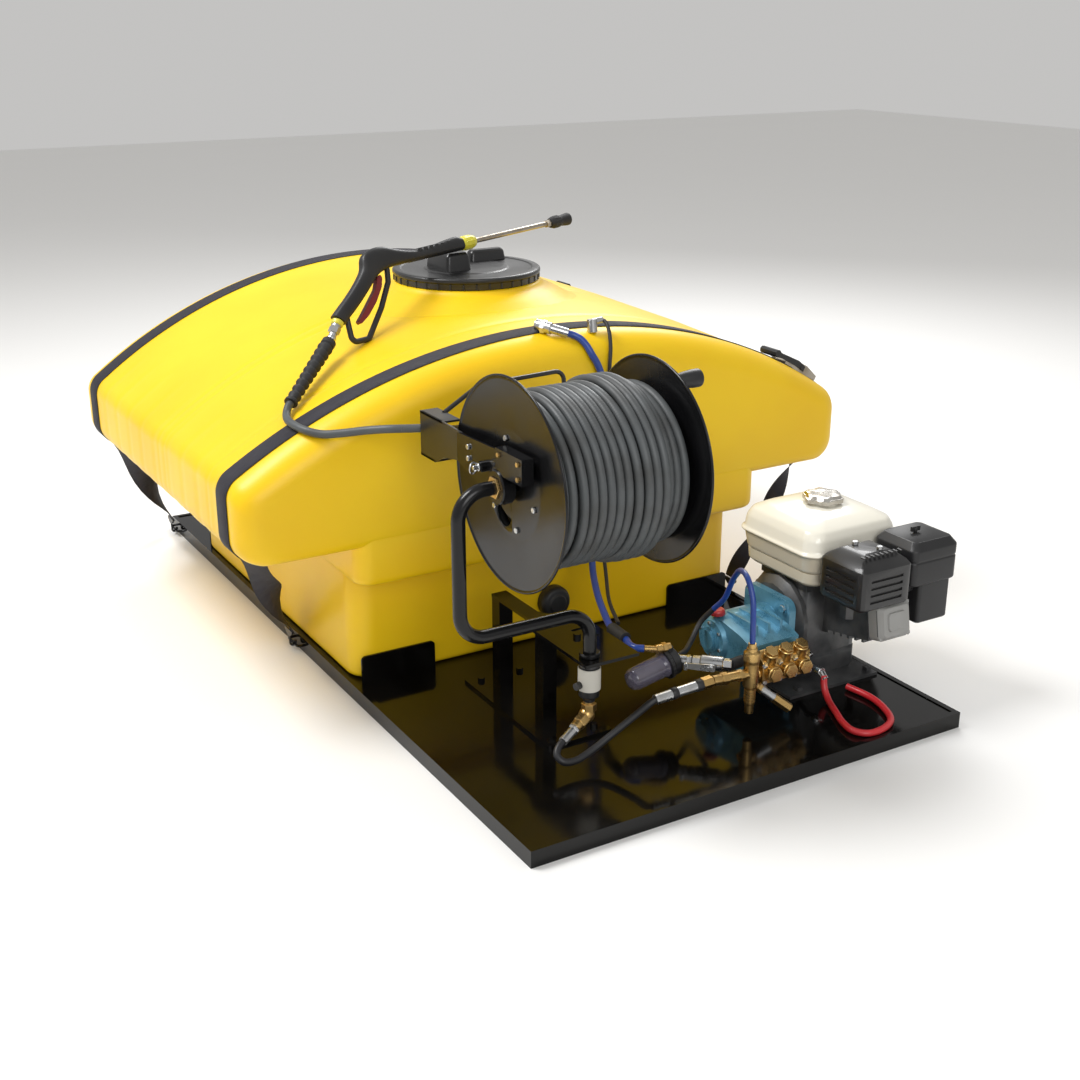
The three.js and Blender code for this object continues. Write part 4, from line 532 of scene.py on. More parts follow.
# A centripetal Catmull-Rom curve through given points, sampled at even distances.
def smoothPath(points, count):
    p = np.asarray(points, float)
    p = np.vstack([2 * p[0] - p[1], p, 2 * p[-1] - p[-2]])
    knots = np.concatenate([[0], np.cumsum(np.linalg.norm(np.diff(p, axis=0), axis=1) ** 0.5)])
    pieces = []
    for i in range(1, len(p) - 2):
        t = np.linspace(knots[i], knots[i + 1], 24, endpoint=False)[:, None]
        k = knots[i - 1:i + 3]
        a = [(k[j + 1] - t) / (k[j + 1] - k[j]) * p[i - 1 + j] + (t - k[j]) / (k[j + 1] - k[j]) * p[i + j]
             for j in range(3)]
        b = [(k[j + 2] - t) / (k[j + 2] - k[j]) * a[j] + (t - k[j]) / (k[j + 2] - k[j]) * a[j + 1] for j in range(2)]
        pieces.append((k[2] - t) / (k[2] - k[1]) * b[0] + (t - k[1]) / (k[2] - k[1]) * b[1])
    dense = np.vstack([*pieces, p[-2:-1]])
    along = distances(dense)
    even = np.linspace(0, along[-1], count)
    return np.stack([np.interp(even, along, dense[:, k]) for k in range(3)], 1)


# Straight runs joined by round bends of one radius.
def bentPath(points, radius, perBend=10):
    p = np.asarray(points, float)
    path = [p[0]]
    for before, here, after in zip(p[:-2], p[1:-1], p[2:]):
        a, b = unit(before - here), unit(after - here)
        half = acos(np.clip(a @ b, -1, 1)) / 2
        centre = here + unit(a + b) * radius / sin(half)
        start, end = here + a * radius / np.tan(half) - centre, here + b * radius / np.tan(half) - centre
        sweep = pi - 2 * half
        t = np.linspace(0, 1, perBend + 1)[:, None]
        path += list(centre + (np.sin(sweep * (1 - t)) * start + np.sin(sweep * t) * end) / sin(sweep))
    return np.array(path + [p[-1]])


# A box with round upright edges whose outline grows and shrinks with height, as [z, inset] levels.
def softBox(form, x0, x1, y0, y1, radius, levels, corner=8, round=3.0):
    levels = rounded(levels, round, 3) if round else np.asarray(levels, float)
    angle = (np.arange(4)[:, None] + np.linspace(0, 1, corner + 1)) * pi / 2
    inset = levels[:, 1][:, None, None]
    r = np.maximum(radius - inset * 0.3, 1)
    cx = np.array([x1, x0, x0, x1])[None, :, None] + np.array([-1, 1, 1, -1])[None, :, None] * (inset + r)
    cy = np.array([y1, y1, y0, y0])[None, :, None] + np.array([-1, -1, 1, 1])[None, :, None] * (inset + r)
    x, y = cx + r * np.cos(angle), cy + r * np.sin(angle)
    z = np.broadcast_to(levels[:, 0][:, None, None], x.shape)
    form.grid(np.stack([x, y, z], -1).reshape(len(levels), -1, 3))


def block(form, x0, x1, y0, y1, z0, z1):
    ring = [[x0, y0], [x1, y0], [x1, y1], [x0, y1]]
    form.grid([[[x, y, z] for x, y in ring] for z in (z0, z1)])


# An outline in a plane carried across it: axes names the two outline directions and the depth direction.
def slab(form, outline, axes, low, high, edge=0.0):
    outline = np.asarray(outline, float)
    order = ["xyz".index(a) for a in axes]
    rows = []
    middle = outline.mean(0)
    levels = [(low, edge), (low + edge, 0), (high - edge, 0), (high, edge)] if edge else [(low, 0), (high, 0)]
    shrink = 1 - edge / max(np.abs(outline - middle).max(), 1)
    for level, inset in levels:
        points = np.zeros((len(outline), 3))
        points[:, order[:2]] = middle + (outline - middle) * (shrink if inset else 1)
        points[:, order[2]] = level
        rows.append(points)
    form.grid(rows)


def roundOutline(a0, a1, b0, b1, radius, corner=8):
    angle = (np.arange(4)[:, None] + np.linspace(0, 1, corner + 1)) * pi / 2
    ca = np.array([a1 - radius, a0 + radius, a0 + radius, a1 - radius])[:, None]
    cb = np.array([b1 - radius, b1 - radius, b0 + radius, b0 + radius])[:, None]
    return np.stack([ca + radius * np.cos(angle), cb + radius * np.sin(angle)], -1).reshape(-1, 2)


tank = {
    "front": 820.0, "length": 1360.0, "width": 1806.0, "floor": 0.3, "underside": 392.0,
    "baseWidth": 1188.0, "baseSetback": 90.0, "baseTop": 290.0, "bandWidth": 1225.0,
    "lowRadius": 60.0, "shoulderRadius": 60.0, "planRadius": 60.0, "frontRadius": 80.0, "undersideRadius": 25.0,
    "crownAt": [140, 380, 680, 1260], "crown": [852, 872, 886, 886], "arch": [1640, 1550, 1450, 1450],
    "manway": 576.0, "neckRadius": 205.0, "neckTop": 908.0, "outlet": [597.0, 107.0],
    "dome": [[0, 800], [335, 800], [335, 838], [290, 858], [250, 880], [215, 897]],
    "ribPitch": 118.0, "ribDepth": 1.8, "grooveAt": [214.0, 560.0, 604.0], "grooveDepth": 2.4, "grooveWidth": 9.0,
    "middleZ": 620.0, "endFade": 120.0, "flankFrom": 760.0, "flankFade": 80.0,
}
tankMiddle = deck["width"] / 2


# How far a rounded edge has drawn in at a distance inside the end: r - sqrt(r^2 - (r - d)^2).
def edgeInset(distance, radius):
    inside = np.clip(radius - distance, 0, radius)
    return radius - np.sqrt(radius ** 2 - inside ** 2)


# Half sections at several distances from the tank's front, from the underside's edge to the crown:
# a quarter circle below, a short arc at the shoulder and the arch over the top, as [dx, z].
def halfSection(distance, arcs=26, corners=9):
    distance = np.atleast_1d(np.asarray(distance, float))
    t = tank
    fromEnd = np.minimum(distance, t["length"] - distance)
    clamped = np.clip(distance, t["frontRadius"], t["length"] - t["frontRadius"])
    crown = np.interp(clamped, t["crownAt"], t["crown"])
    arch = np.interp(clamped, t["crownAt"], t["arch"])[:, None]
    halfWidth = (t["width"] / 2 - edgeInset(fromEnd, t["planRadius"]))[:, None]
    top = (crown - edgeInset(fromEnd, t["frontRadius"]))[:, None]
    floor = (t["underside"] + edgeInset(fromEnd, t["undersideRadius"]))[:, None]
    low, shoulder = t["lowRadius"], t["shoulderRadius"]
    a = np.linspace(0, pi / 2, corners + 1)
    x1, z1 = halfWidth - low + low * np.sin(a), floor + low - low * np.cos(a)
    shoulderX = halfWidth - shoulder
    tilt = np.arcsin(shoulderX / (arch - shoulder))
    shoulderZ = top - arch + (arch - shoulder) * np.cos(tilt)
    b = np.linspace(0, 1, corners + 1) * (pi / 2 - tilt)
    x2, z2 = shoulderX + shoulder * np.cos(b), shoulderZ + shoulder * np.sin(b)
    c = tilt * (1 - np.linspace(0, 1, arcs + 1)[1:])
    x3, z3 = arch * np.sin(c), top - arch + arch * np.cos(c)
    return np.stack([np.hstack([x1, x2, x3]), np.hstack([z1, z2, z3])], -1)


def wholeSection(distance):
    half = halfSection(distance)
    y = np.broadcast_to(tank["front"] + distance[:, None], half.shape[:2])
    right = np.stack([tankMiddle + half[..., 0], y, half[..., 1]], -1)
    left = np.stack([tankMiddle - half[..., 0], y, half[..., 1]], -1)[:, -2::-1]
    return np.concatenate([right, left], 1)


# The body's skin gets shallow grooves across it and faint ribs on its flanks, drawn in along the normal:
# depth = groove exp(-((d - place) / width)^2) + rib sin^8(pi d / pitch) on the flanks.
def tankBody(form):
    t = tank
    ends = t["frontRadius"] * (1 - np.cos(np.linspace(0, pi / 2, 11)))
    middle = np.linspace(t["frontRadius"], t["length"] - t["frontRadius"], 190)
    distance = np.concatenate([ends[:-1], middle, (t["length"] - ends[:-1])[::-1]])
    points = wholeSection(distance)
    across = unit(np.roll(points, -1, 1) - np.roll(points, 1, 1))
    along = np.gradient(points, axis=0)
    normal = unit(np.cross(across, along))
    outward = (points - [tankMiddle, 0, t["middleZ"]]) * [1, 0, 1]
    normal *= np.sign((normal * outward).sum(-1, keepdims=True))
    d = distance[:, None]
    fade = np.clip(np.minimum(d, t["length"] - d) / t["endFade"], 0, 1)
    grooves = sum(np.exp(-((d - place) / t["grooveWidth"]) ** 2) for place in t["grooveAt"])
    flank = np.clip((np.abs(points[..., 0] - tankMiddle) - t["flankFrom"]) / t["flankFade"], 0, 1)
    ribs = np.sin(pi * d / t["ribPitch"]) ** 8 * flank
    depth = (t["grooveDepth"] * grooves * (1 - flank * 0.4) + t["ribDepth"] * ribs) * fade
    form.grid(points - normal * depth[..., None])


def tankTier(form, width, setback, radius, z0, z1, edge):
    y0, y1 = tank["front"] + setback, tank["front"] + tank["length"] - setback
    levels = [[z0, edge], [z0 + edge * 0.3, edge * 0.3], [z0 + edge, 0], [z1 - edge, 0], [z1, edge]]
    softBox(form, tankMiddle - width / 2, tankMiddle + width / 2, y0, y1, radius, levels, 8, edge * 0.5)


def addTank():
    t = tank
    form = Form()
    tankBody(form)
    tankTier(form, t["baseWidth"], t["baseSetback"], 60, t["floor"], t["baseTop"] + 40, 12)
    tankTier(form, t["bandWidth"], 0, 45, t["baseTop"], t["underside"] + 40, 16)
    manway = [tankMiddle, t["front"] + t["manway"], 0]
    neck = [[t["neckRadius"], t["neckTop"]], [0, t["neckTop"]]]
    turned(form, t["dome"] + neck, manway, [0, 0, 1], 96, round=8)
    addForm("tankMoulding", form, "tank_shell", "tankYellow", smoothAngle=50)
    boss = Form()
    x, z = t["outlet"]
    face = [x, t["front"] + t["baseSetback"], z]
    turned(boss, [[40, 0], [45, 1], [45, 22], [41, 30], [36, 34], [26, 36], [24, 40], [9, 40]], face, [0, -1, 0], 40,
           round=2)
    runs(boss, [[20, 39, 24, 6]], face, [0, -1, 0])
    addForm("tankOutletPlug", boss, "tank_shell", "plasticBlack", trim=True)


lid = {"radius": 207.0, "thickness": 32.0, "collar": 17.0, "plug": 186.0, "gap": 0.3,
       "restX": [-92, -14], "restY": [1334, 1467], "restHeight": 48.0, "ridgeX": [44, 160], "ridgeY": [54, 96]}


def addLid():
    form = Form()
    z = tank["neckTop"] + lid["gap"]
    y = tank["front"] + tank["manway"]
    r, h, collar = lid["radius"], lid["thickness"], lid["collar"]
    profile = [[0, -14], [lid["plug"], -14], [lid["plug"], 0], [r - 4, 0], [r - 4, collar], [r, collar + 2],
               [r, h - 4], [r - 5, h], [r - 22, h], [r - 25, h - 2.5], [120, h - 2.5], [116, h], [0, h]]
    turned(form, profile, [tankMiddle, y, z], [0, 0, 1], 120, round=1.6)
    top = z + h
    height = lid["restHeight"]
    x = lambda key: [tankMiddle + place for place in lid[key]]
    softBox(form, *x("restX"), *lid["restY"], 12, [[top - 1, 0], [top + height - 8, 4], [top + height, 11]], 6, 5)
    softBox(form, *x("ridgeX"), *[y + place for place in lid["ridgeY"]], 12,
            [[top - 1, 0], [top + 24, 4], [top + 30, 10]], 6, 5)
    knurl(form, [tankMiddle, y, 0], [0, 0, 1], 36, r - 4.5, z + 1, z + collar, 3.2, 10, turn=pi / 2)
    addForm("manwayLid", form, "tank_lid", "satinBlack")


strap = {"width": 70.0, "gathered": 48.0, "thick": 2.0, "gap": 0.3, "offsets": [109.0, 1244.0],
         "hookTop": 24.0, "eyeReach": 16.0, "eyeDrop": 18.0, "rodRadius": 3.5, "shankOut": 9.0,
         "ratchetArc": 806.0, "edgeRoll": 0.6, "widenOver": 150.0, "narrowOver": [220.0, 60.0]}
labels = ["front", "rear"]


def hookY(side):
    return [min(tank["front"] + d + (340 if side < 0 else 20), deck["length"] - 70) for d in strap["offsets"]]


def hookX(side):
    out = strap["eyeReach"] + strap["shankOut"]
    return -out if side < 0 else deck["width"] + out


# A band with rolled edges along centre points, with its width and thickness directions at each.
def band(form, centre, across, normal, share):
    w, h = strap["width"] / 2, strap["thick"] / 2
    r = strap["edgeRoll"]
    section = np.array([[-w + r, 0], [0, 0], [w - r, 0], [w, h],
                        [w - r, 2 * h], [0, 2 * h], [-w + r, 2 * h], [-w, h]])
    across, normal = unit(across)[:, None], unit(normal)[:, None]
    share = np.asarray(share, float)[:, None, None]
    points = np.asarray(centre)[:, None] + section[None, :, :1] * share * across + section[None, :, 1:] * normal
    form.grid(points, lengthwise=distances(centre) / 1000)
    shares = np.append(section[:, 0], section[0, 0]) / (2 * w) + 0.5
    uv = form.uvs[-3].reshape(-1, 4, 2)
    corner = np.round(uv[..., 1] * len(section)).astype(int)
    uv[..., 1] = shares[corner]


# The outline that the band lies on at a place along the tank, as centre points and outward normals.
def outlineAt(distance, side):
    half = halfSection(distance, arcs=40, corners=10)[0]
    step = np.gradient(half, axis=0)
    normal = unit(np.stack([step[:, 1], -step[:, 0]], -1))
    y = np.full(len(half), tank["front"] + distance)
    centre = np.stack([tankMiddle + side * half[:, 0], y, half[:, 1]], -1)
    outward = np.stack([side * normal[:, 0], 0 * y, normal[:, 1]], -1)
    return centre + outward * strap["gap"], outward


def addStraps():
    for k, label in enumerate(labels):
        offset = strap["offsets"][k]
        left, leftOut = outlineAt(offset, -1)
        right, rightOut = outlineAt(offset, 1)
        join = int(np.where(right[:, 0] - tankMiddle >= strap["ratchetArc"] - 10)[0].max())
        start = np.array([hookX(-1), hookY(-1)[k], strap["hookTop"] + 2])
        run = left[0] - start
        out = unit([-run[2], 0, run[0]])
        t = np.linspace(0, 1, 14)[:-1, None]
        free = start + t * run
        centre = np.vstack([free, left, right[::-1][1:len(right) - join + 12]])
        normal = np.vstack([np.tile(out, (len(free), 1)), leftOut, rightOut[::-1][1:len(right) - join + 12]])
        blendIn = np.clip(np.arange(len(free)) / len(free), 0, 1)[:, None] ** 4
        normal[:len(free)] = unit(out * (1 - blendIn) + leftOut[0] * blendIn)
        # half a turn between hook and lip: angle = pi (3 t^2 - 2 t^3)
        turn = pi * (3 * t ** 2 - 2 * t ** 3)
        way = unit(run)
        level = unit(np.array([0, 1, 0]) - way * way[1])
        across = np.tile([0.0, 1, 0], (len(centre), 1))
        rising = np.cross(normal[:len(free)], way)
        rising *= np.sign(rising @ level)[:, None]
        across[:len(free)] = -np.cos(turn) * rising + np.sin(turn) * normal[:len(free)]
        normal[:len(free)] = unit(np.cross(way, across[:len(free)]))
        normal[:len(free)] *= np.sign(normal[len(free) - 1] @ leftOut[0])
        along = distances(centre)
        narrow = strap["gathered"] / strap["width"]
        places = [0, strap["widenOver"], *(along[-1] - before for before in strap["narrowOver"])]
        share = np.interp(along, places, [narrow, 1, 1, narrow])
        form = Form()
        band(form, centre, across, normal, share)
        addForm(f"strapBand.{label}", form, f"strap_{label}", "webbing", smoothAngle=60)
        addStrapTail(k, label, right[:join + 1][::-1], rightOut[:join + 1][::-1])


# The short end: over the side, then twisted down to its hook.
def addStrapTail(k, label, over, overOut):
    turns = 1.0 if k == 0 else 0.5
    start = over[-1] + overOut[-1] * strap["thick"] / 2
    end = np.array([hookX(1), hookY(1)[k], strap["hookTop"] + 2.5])
    t = np.linspace(0, 1, 49)[1:, None]
    run = unit(end - start)
    level = unit(np.array([0, 1, 0]) - run * run[1])
    side = np.cross(run, level)
    angle = turns * 2 * pi * t
    across = np.cos(angle) * level + np.sin(angle) * side
    normal = np.cross(run, across)
    centre = start + t * (end - start) + np.sin(pi * t) * np.array([6.0, 0, 0]) - normal * strap["thick"] / 2
    acrossOver = np.tile([0.0, 1, 0], (len(over), 1))
    form = Form()
    sign = np.sign(normal[0] @ overOut[-1])
    if sign < 0:
        normal, centre = -normal, centre + normal * strap["thick"]
    share = np.full(len(over) + len(centre), strap["gathered"] / strap["width"])
    band(form, np.vstack([over, centre]), np.vstack([acrossOver, across]), np.vstack([overOut, normal]), share)
    addForm(f"strapTail.{label}", form, f"strap_tail_{label}", "webbing", smoothAngle=60)


def addHooks():
    reach = 4 + strap["rodRadius"] + 0.3
    for side, sideName in ((-1, "left"), (1, "right")):
        for k, label in enumerate(labels):
            y = hookY(side)[k]
            line = hookX(side)
            bar = np.array([line - side * strap["shankOut"], y, -strap["eyeDrop"]])
            angle = np.linspace(0, pi, 17)
            arc = bar + reach * np.stack([side * np.cos(angle), 0 * angle, -np.sin(angle)], -1)
            shank = [[line, y, strap["hookTop"] - 17], [line, y, bar[2] + 26],
                     [line * 0.3 + arc[0, 0] * 0.7, y, bar[2] + 10]]
            tip = arc[-1] + [0, 0, 5]
            form = Form()
            path = np.vstack([smoothPath(np.vstack([shank, arc[:1]]), 14), arc[1:], [tip]])
            tube(form, path, strap["rodRadius"], 12)
            top, low = strap["hookTop"], strap["hookTop"] - 20
            outline = [[y, low], [y + 10, low], [y + 26, top - 6], [y + 26, top], [y - 26, top], [y - 26, top - 6],
                       [y - 10, low]]
            slab(form, roundedRing(outline, 2, 3), "yzx", line - 3, line + 3, 0.5)
            addForm(f"strapHook.{label}.{sideName}", form, f"hook_{label}_{sideName}", "satinBlack")


reel = {
    "pivot": [332.0, 303.0], "axisZ": 687.0, "armRadius": 15.5, "armOut": 4.0, "armLow": 354.0, "armBend": 62.0,
    "topPlateZ": 236.0, "plate": 8.0, "leftX": 133.0, "rightX": 474.0, "sheet": 2.0, "dish": 7.0,
    "radius": 235.0, "roll": 4.0, "axle": 12.0, "drum": 80.0, "hub": 118.0,
    "windowInner": 45.0, "windowOuter": 110.0, "windowHalf": 30.0, "windowTurn": -155.0,
    "guideX": 107.0, "guideArmY": 478.0, "guideEndY": 682.0, "guideLow": 657.0, "guideHigh": 762.0, "guideSheet": 5.0,
    "pinY": 364.0, "pinZ": 716.0, "pinRadius": 5.0, "knob": [225.0, 880.0], "knobRadius": 20.0, "knobLength": 70.0,
}
pivotX, pivotY = reel["pivot"]
axisZ = reel["axisZ"]
reelCentre = np.array([0, pivotY, axisZ])

hose = {"diameter": 19.5, "pitch": 21.5, "turns": 14.8, "left": 146.5, "radius": 175.0, "leadAngle": 58.3,
        "perTurn": 64,
        "steps": [[180.0, 10.0], [315.0, 11.0], [396.0, -24.0]]}
windingLead = np.array([0, sin(radians(hose["leadAngle"])), -cos(radians(hose["leadAngle"]))])


# Radius of the hose's centre along the spool: a smooth step of one pitch where the layers below change.
def windingRadius(x):
    x = np.asarray(x, float)
    radius = np.full(x.shape, hose["radius"])
    for start, change in hose["steps"]:
        t = np.clip((x - start) / hose["pitch"], 0, 1)
        radius = radius + change * t * t * (3 - 2 * t)
    return radius


# The outer layer as one helix: x = left + pitch n, at the winding radius, ending straight at both ends.
def windingPath():
    n = np.linspace(hose["turns"], 0, int(hose["turns"] * hose["perTurn"]) + 1)
    x = hose["left"] + hose["pitch"] * n
    angle = radians(hose["leadAngle"]) + 2 * pi * n
    r = windingRadius(x)
    path = np.stack([x, pivotY + r * np.cos(angle), axisZ + r * np.sin(angle)], -1)
    back = unit((path[1] - path[0]) * [0, 1, 1])
    reach = hose["radius"] + hose["diameter"] + 0.3
    straight = sqrt(reach ** 2 - hose["radius"] ** 2)
    tail = path[-1] + windingLead * straight * np.linspace(0, 1, 9)[1:, None]
    return np.vstack([path[0] - back * hose["diameter"], path, tail])


def addWinding():
    path = windingPath()
    form = Form()
    tube(form, path, hose["diameter"] / 2 + 0.35, 18)
    addForm("hoseWinding", form, "wound_hose", "hoseGrey", smoothAngle=60)
    print("winding length", round(distances(path)[-1]), "mm")
    under = Form()
    low = (reel["drum"] + 12, hose["radius"] - hose["diameter"] * 1.35)
    turnsBelow = 14
    for layer, r in enumerate(np.linspace(low[1], low[0], 3)):
        n = np.linspace(0, turnsBelow, turnsBelow * 40)
        x = hose["left"] + 2 + hose["pitch"] * n + layer % 2 * 5
        x = np.minimum(x, reel["rightX"] - 13)
        grow = windingRadius(x) - hose["radius"]
        y, z = pivotY + (r + grow) * np.cos(2 * pi * n), axisZ + (r + grow) * np.sin(2 * pi * n)
        tube(under, np.stack([x, y, z], -1), hose["diameter"] / 2, 8)
    addForm("hoseLayersBelow", under, "hose_core", "hoseGrey", smoothAngle=60)


# A dished flange with a rolled rim; its window is cut afterwards.
def addFlange(name, node, x, out):
    face = x + (reel["sheet"] if out > 0 else 0)
    back = x + (0 if out > 0 else reel["sheet"])
    bore, r, roll, hub = reel["axle"] + 0.7, reel["radius"], reel["roll"], reel["hub"]
    rim = out * reel["dish"]
    profile = [[bore, back], [hub, back], [r - 2 * roll, back + rim], [r - roll, back + rim - out * 2],
               [r, back + rim + out * 2], [r - roll, face + rim + out * 4], [r - 2 * roll, face + rim], [hub, face],
               [bore, face]]
    form = Form()
    turned(form, profile, reelCentre, [1, 0, 0], 160, round=5, steps=5, closed=True)
    obj = addForm(name, form, node, "reelBlack", smoothAngle=48)
    tool = Form()
    a = np.linspace(0, pi, 25)
    half = reel["windowHalf"]
    inner, outer = reel["windowInner"] + half, reel["windowOuter"] - half
    slot = np.vstack([np.stack([half * np.cos(a), outer + half * np.sin(a)], -1),
                      np.stack([-half * np.cos(a), inner - half * np.sin(a)], -1)])
    turn = radians(reel["windowTurn"])
    y = slot[:, 0] * cos(turn) - slot[:, 1] * sin(turn)
    z = slot[:, 0] * sin(turn) + slot[:, 1] * cos(turn)
    slab(tool, np.stack([pivotY + y, axisZ + z], -1), "yzx", x - 20, x + 20)
    cutAway(obj, tool)


# Cuts a form out of a piece, with the result kept as the piece's own mesh.
def cutAway(obj, tool):
    cutter = linked("cutter", tool.mesh("cutter", 30))
    modifier = obj.modifiers.new("cut", "BOOLEAN")
    modifier.operation, modifier.solver, modifier.object = "DIFFERENCE", "EXACT", cutter
    made = bpy.data.meshes.new_from_object(obj.evaluated_get(bpy.context.evaluated_depsgraph_get()))
    obj.modifiers.remove(modifier)
    obj.data = made
    bpy.data.objects.remove(cutter)


def addReel():
    addFlange("flange.left", "reel_flange_left", reel["leftX"], -1)
    addFlange("flange.right", "reel_flange_right", reel["rightX"], 1)
    drum = Form()
    a, b = reel["leftX"] + reel["sheet"] + 0.3, reel["rightX"] - 0.3
    turned(drum, [[reel["axle"] + 0.7, a], [reel["drum"], a], [reel["drum"], b], [reel["axle"] + 0.7, b]],
           reelCentre, [1, 0, 0], 64, closed=True)
    addForm("drum", drum, "reel_drum", "reelBlack")
    bolts = Form()
    for k in range(6):
        angle = 2 * pi * k / 6 + 0.3
        y, z = pivotY + 98 * cos(angle), axisZ + 98 * sin(angle)
        hexagon(bolts, [reel["leftX"] - 5.5, y, z], [reel["leftX"], y, z], 7)
        hexagon(bolts, [reel["rightX"] + 2, y, z], [reel["rightX"] + 7.5, y, z], 7)
    addForm("flangeBolts", bolts, "reel_drum", "zinc", trim=True)
    knob = Form()
    y, z = reel["knob"]
    seat = reel["rightX"] + reel["dish"] + reel["sheet"]
    r, n = reel["knobRadius"], reel["knobLength"]
    turned(knob, [[r * 0.7, 0.3], [r * 0.75, 12], [r * 0.9, 30], [r, 50], [r, n - 3], [r * 0.88, n], [0.2, n]],
           [seat, y, z], [1, 0, 0], 48, round=3)
    addForm("crankKnob", knob, "crank_knob", "plasticBlack")


def addArm():
    form = Form()
    path = bentPath([[100, pivotY, axisZ], [reel["armOut"], pivotY, axisZ],
                     [reel["armOut"], pivotY, reel["armLow"]], [pivotX, pivotY, reel["armLow"]],
                     [pivotX, pivotY, reel["topPlateZ"] - 12]], reel["armBend"])
    tube(form, path, reel["armRadius"], 32)
    axis = lambda x: [x, pivotY, axisZ]
    hubX = reel["leftX"] - 9
    rod(form, axis(92), axis(hubX), 38, 48, edge=2.5)
    rod(form, axis(hubX - 4), axis(reel["rightX"] + 24), reel["axle"], 32)
    top = reel["topPlateZ"] + reel["plate"]
    rod(form, [pivotX, pivotY, top + 0.3], [pivotX, pivotY, top + 12], 24, 40, edge=1.5)
    hexagon(form, axis(reel["rightX"] + 10), axis(reel["rightX"] + 22), 19)
    block(form, 96, hubX, pivotY - 105, pivotY + 4, axisZ + 30, axisZ + 86)
    rod(form, [88, reel["pinY"], reel["pinZ"]], [hubX, reel["pinY"], reel["pinZ"]], 12, 32)
    root, end = pivotY - 20, reel["guideArmY"] + 10
    outline = [[root, axisZ - 34], [pivotY + 46, axisZ - 30], [end, axisZ + 8], [end, axisZ + 73], [root, axisZ + 80]]
    slab(form, outline, "yzx", reel["guideX"] - 6, reel["guideX"])
    addForm("reelArm", form, "reel_arm", "reelBlack")
    bolts = [[[90.5, y, dz], [96.2, y, dz], 5.5, 6, 0.8] for y, dz in ((-92, 42), (-92, 74), (-12, 74))]
    addRuns("armFittings", [[[86, 0, 0], [92.3, 0, 0], 25, 6]] + bolts, "reel_arm", "brass", shift=reelCentre)
    pin = Form()
    y, zPin = reel["pinY"], reel["pinZ"]
    rod(pin, [73, y, zPin], [reel["leftX"] - 1, y, zPin], reel["pinRadius"], 24)
    rod(pin, [84, y, zPin], [87, y, zPin], 9, 32)
    a = np.linspace(0, 2 * pi, 49)[:-1]
    turnRing = radians(25)
    ring = np.stack([74 + 12 * np.cos(a) * cos(turnRing), y + 12 * np.cos(a) * sin(turnRing),
                     zPin + 12 * np.sin(a)], -1)
    tube(pin, ring, 2, 12, closed=True)
    addForm("lockPin", pin, "reel_lock_pin", "zinc")


def addGuide():
    r = reel
    z = axisZ
    x0, x1 = r["guideX"] + 0.3, r["guideX"] + r["guideSheet"]
    y0, y1 = r["guideArmY"] + 0.3, r["guideEndY"]
    lip = y1 - 112
    form = Form()
    root = r["guideArmY"] - 60
    slab(form, [[root, z + 12], [y0 + 4, z + 12], [y0 + 4, z + 70], [root, z + 70]], "yzx", x0, x1)
    web = [[y0, z + 8], [lip, z - 8], [lip + 40, r["guideLow"]], [y1, r["guideLow"]], [y1, r["guideHigh"]],
           [lip, r["guideHigh"]], [y0, z + 73]]
    slab(form, roundedRing(web, 6), "yzx", x0, x1, 0.6)
    block(form, x0, r["guideX"] + 45, lip, y1, r["guideHigh"] - 5, r["guideHigh"])
    block(form, x0, r["guideX"] + 45, lip + 40, y1, r["guideLow"], r["guideLow"] + 5)
    path = bentPath([[147, y1 - 42, r["guideHigh"] - 2], [257, y1 - 6, r["guideHigh"] + 40],
                     [497, y1 + 8, r["guideHigh"] + 43], [501, y1 + 8, z - 87],
                     [147, y1 - 30, r["guideLow"] + 3]], 26, 8)
    tube(form, path, 5.5, 16)
    addForm("hoseGuide", form, "hose_guide", "satinBlack")
    bolts = Form()
    for y, dz in ((r["guideArmY"] - 45, 28), (r["guideArmY"] - 45, 54)):
        hexagon(bolts, [x1 - 0.5, y, z + dz], [x1 + 5, y, z + dz], 7.5)
        rod(bolts, [r["guideX"] - 11, y, z + dz], [r["guideX"] - 5.8, y, z + dz], 6, 20)
    addForm("guideBolts", bolts, "hose_guide", "zinc", trim=True)


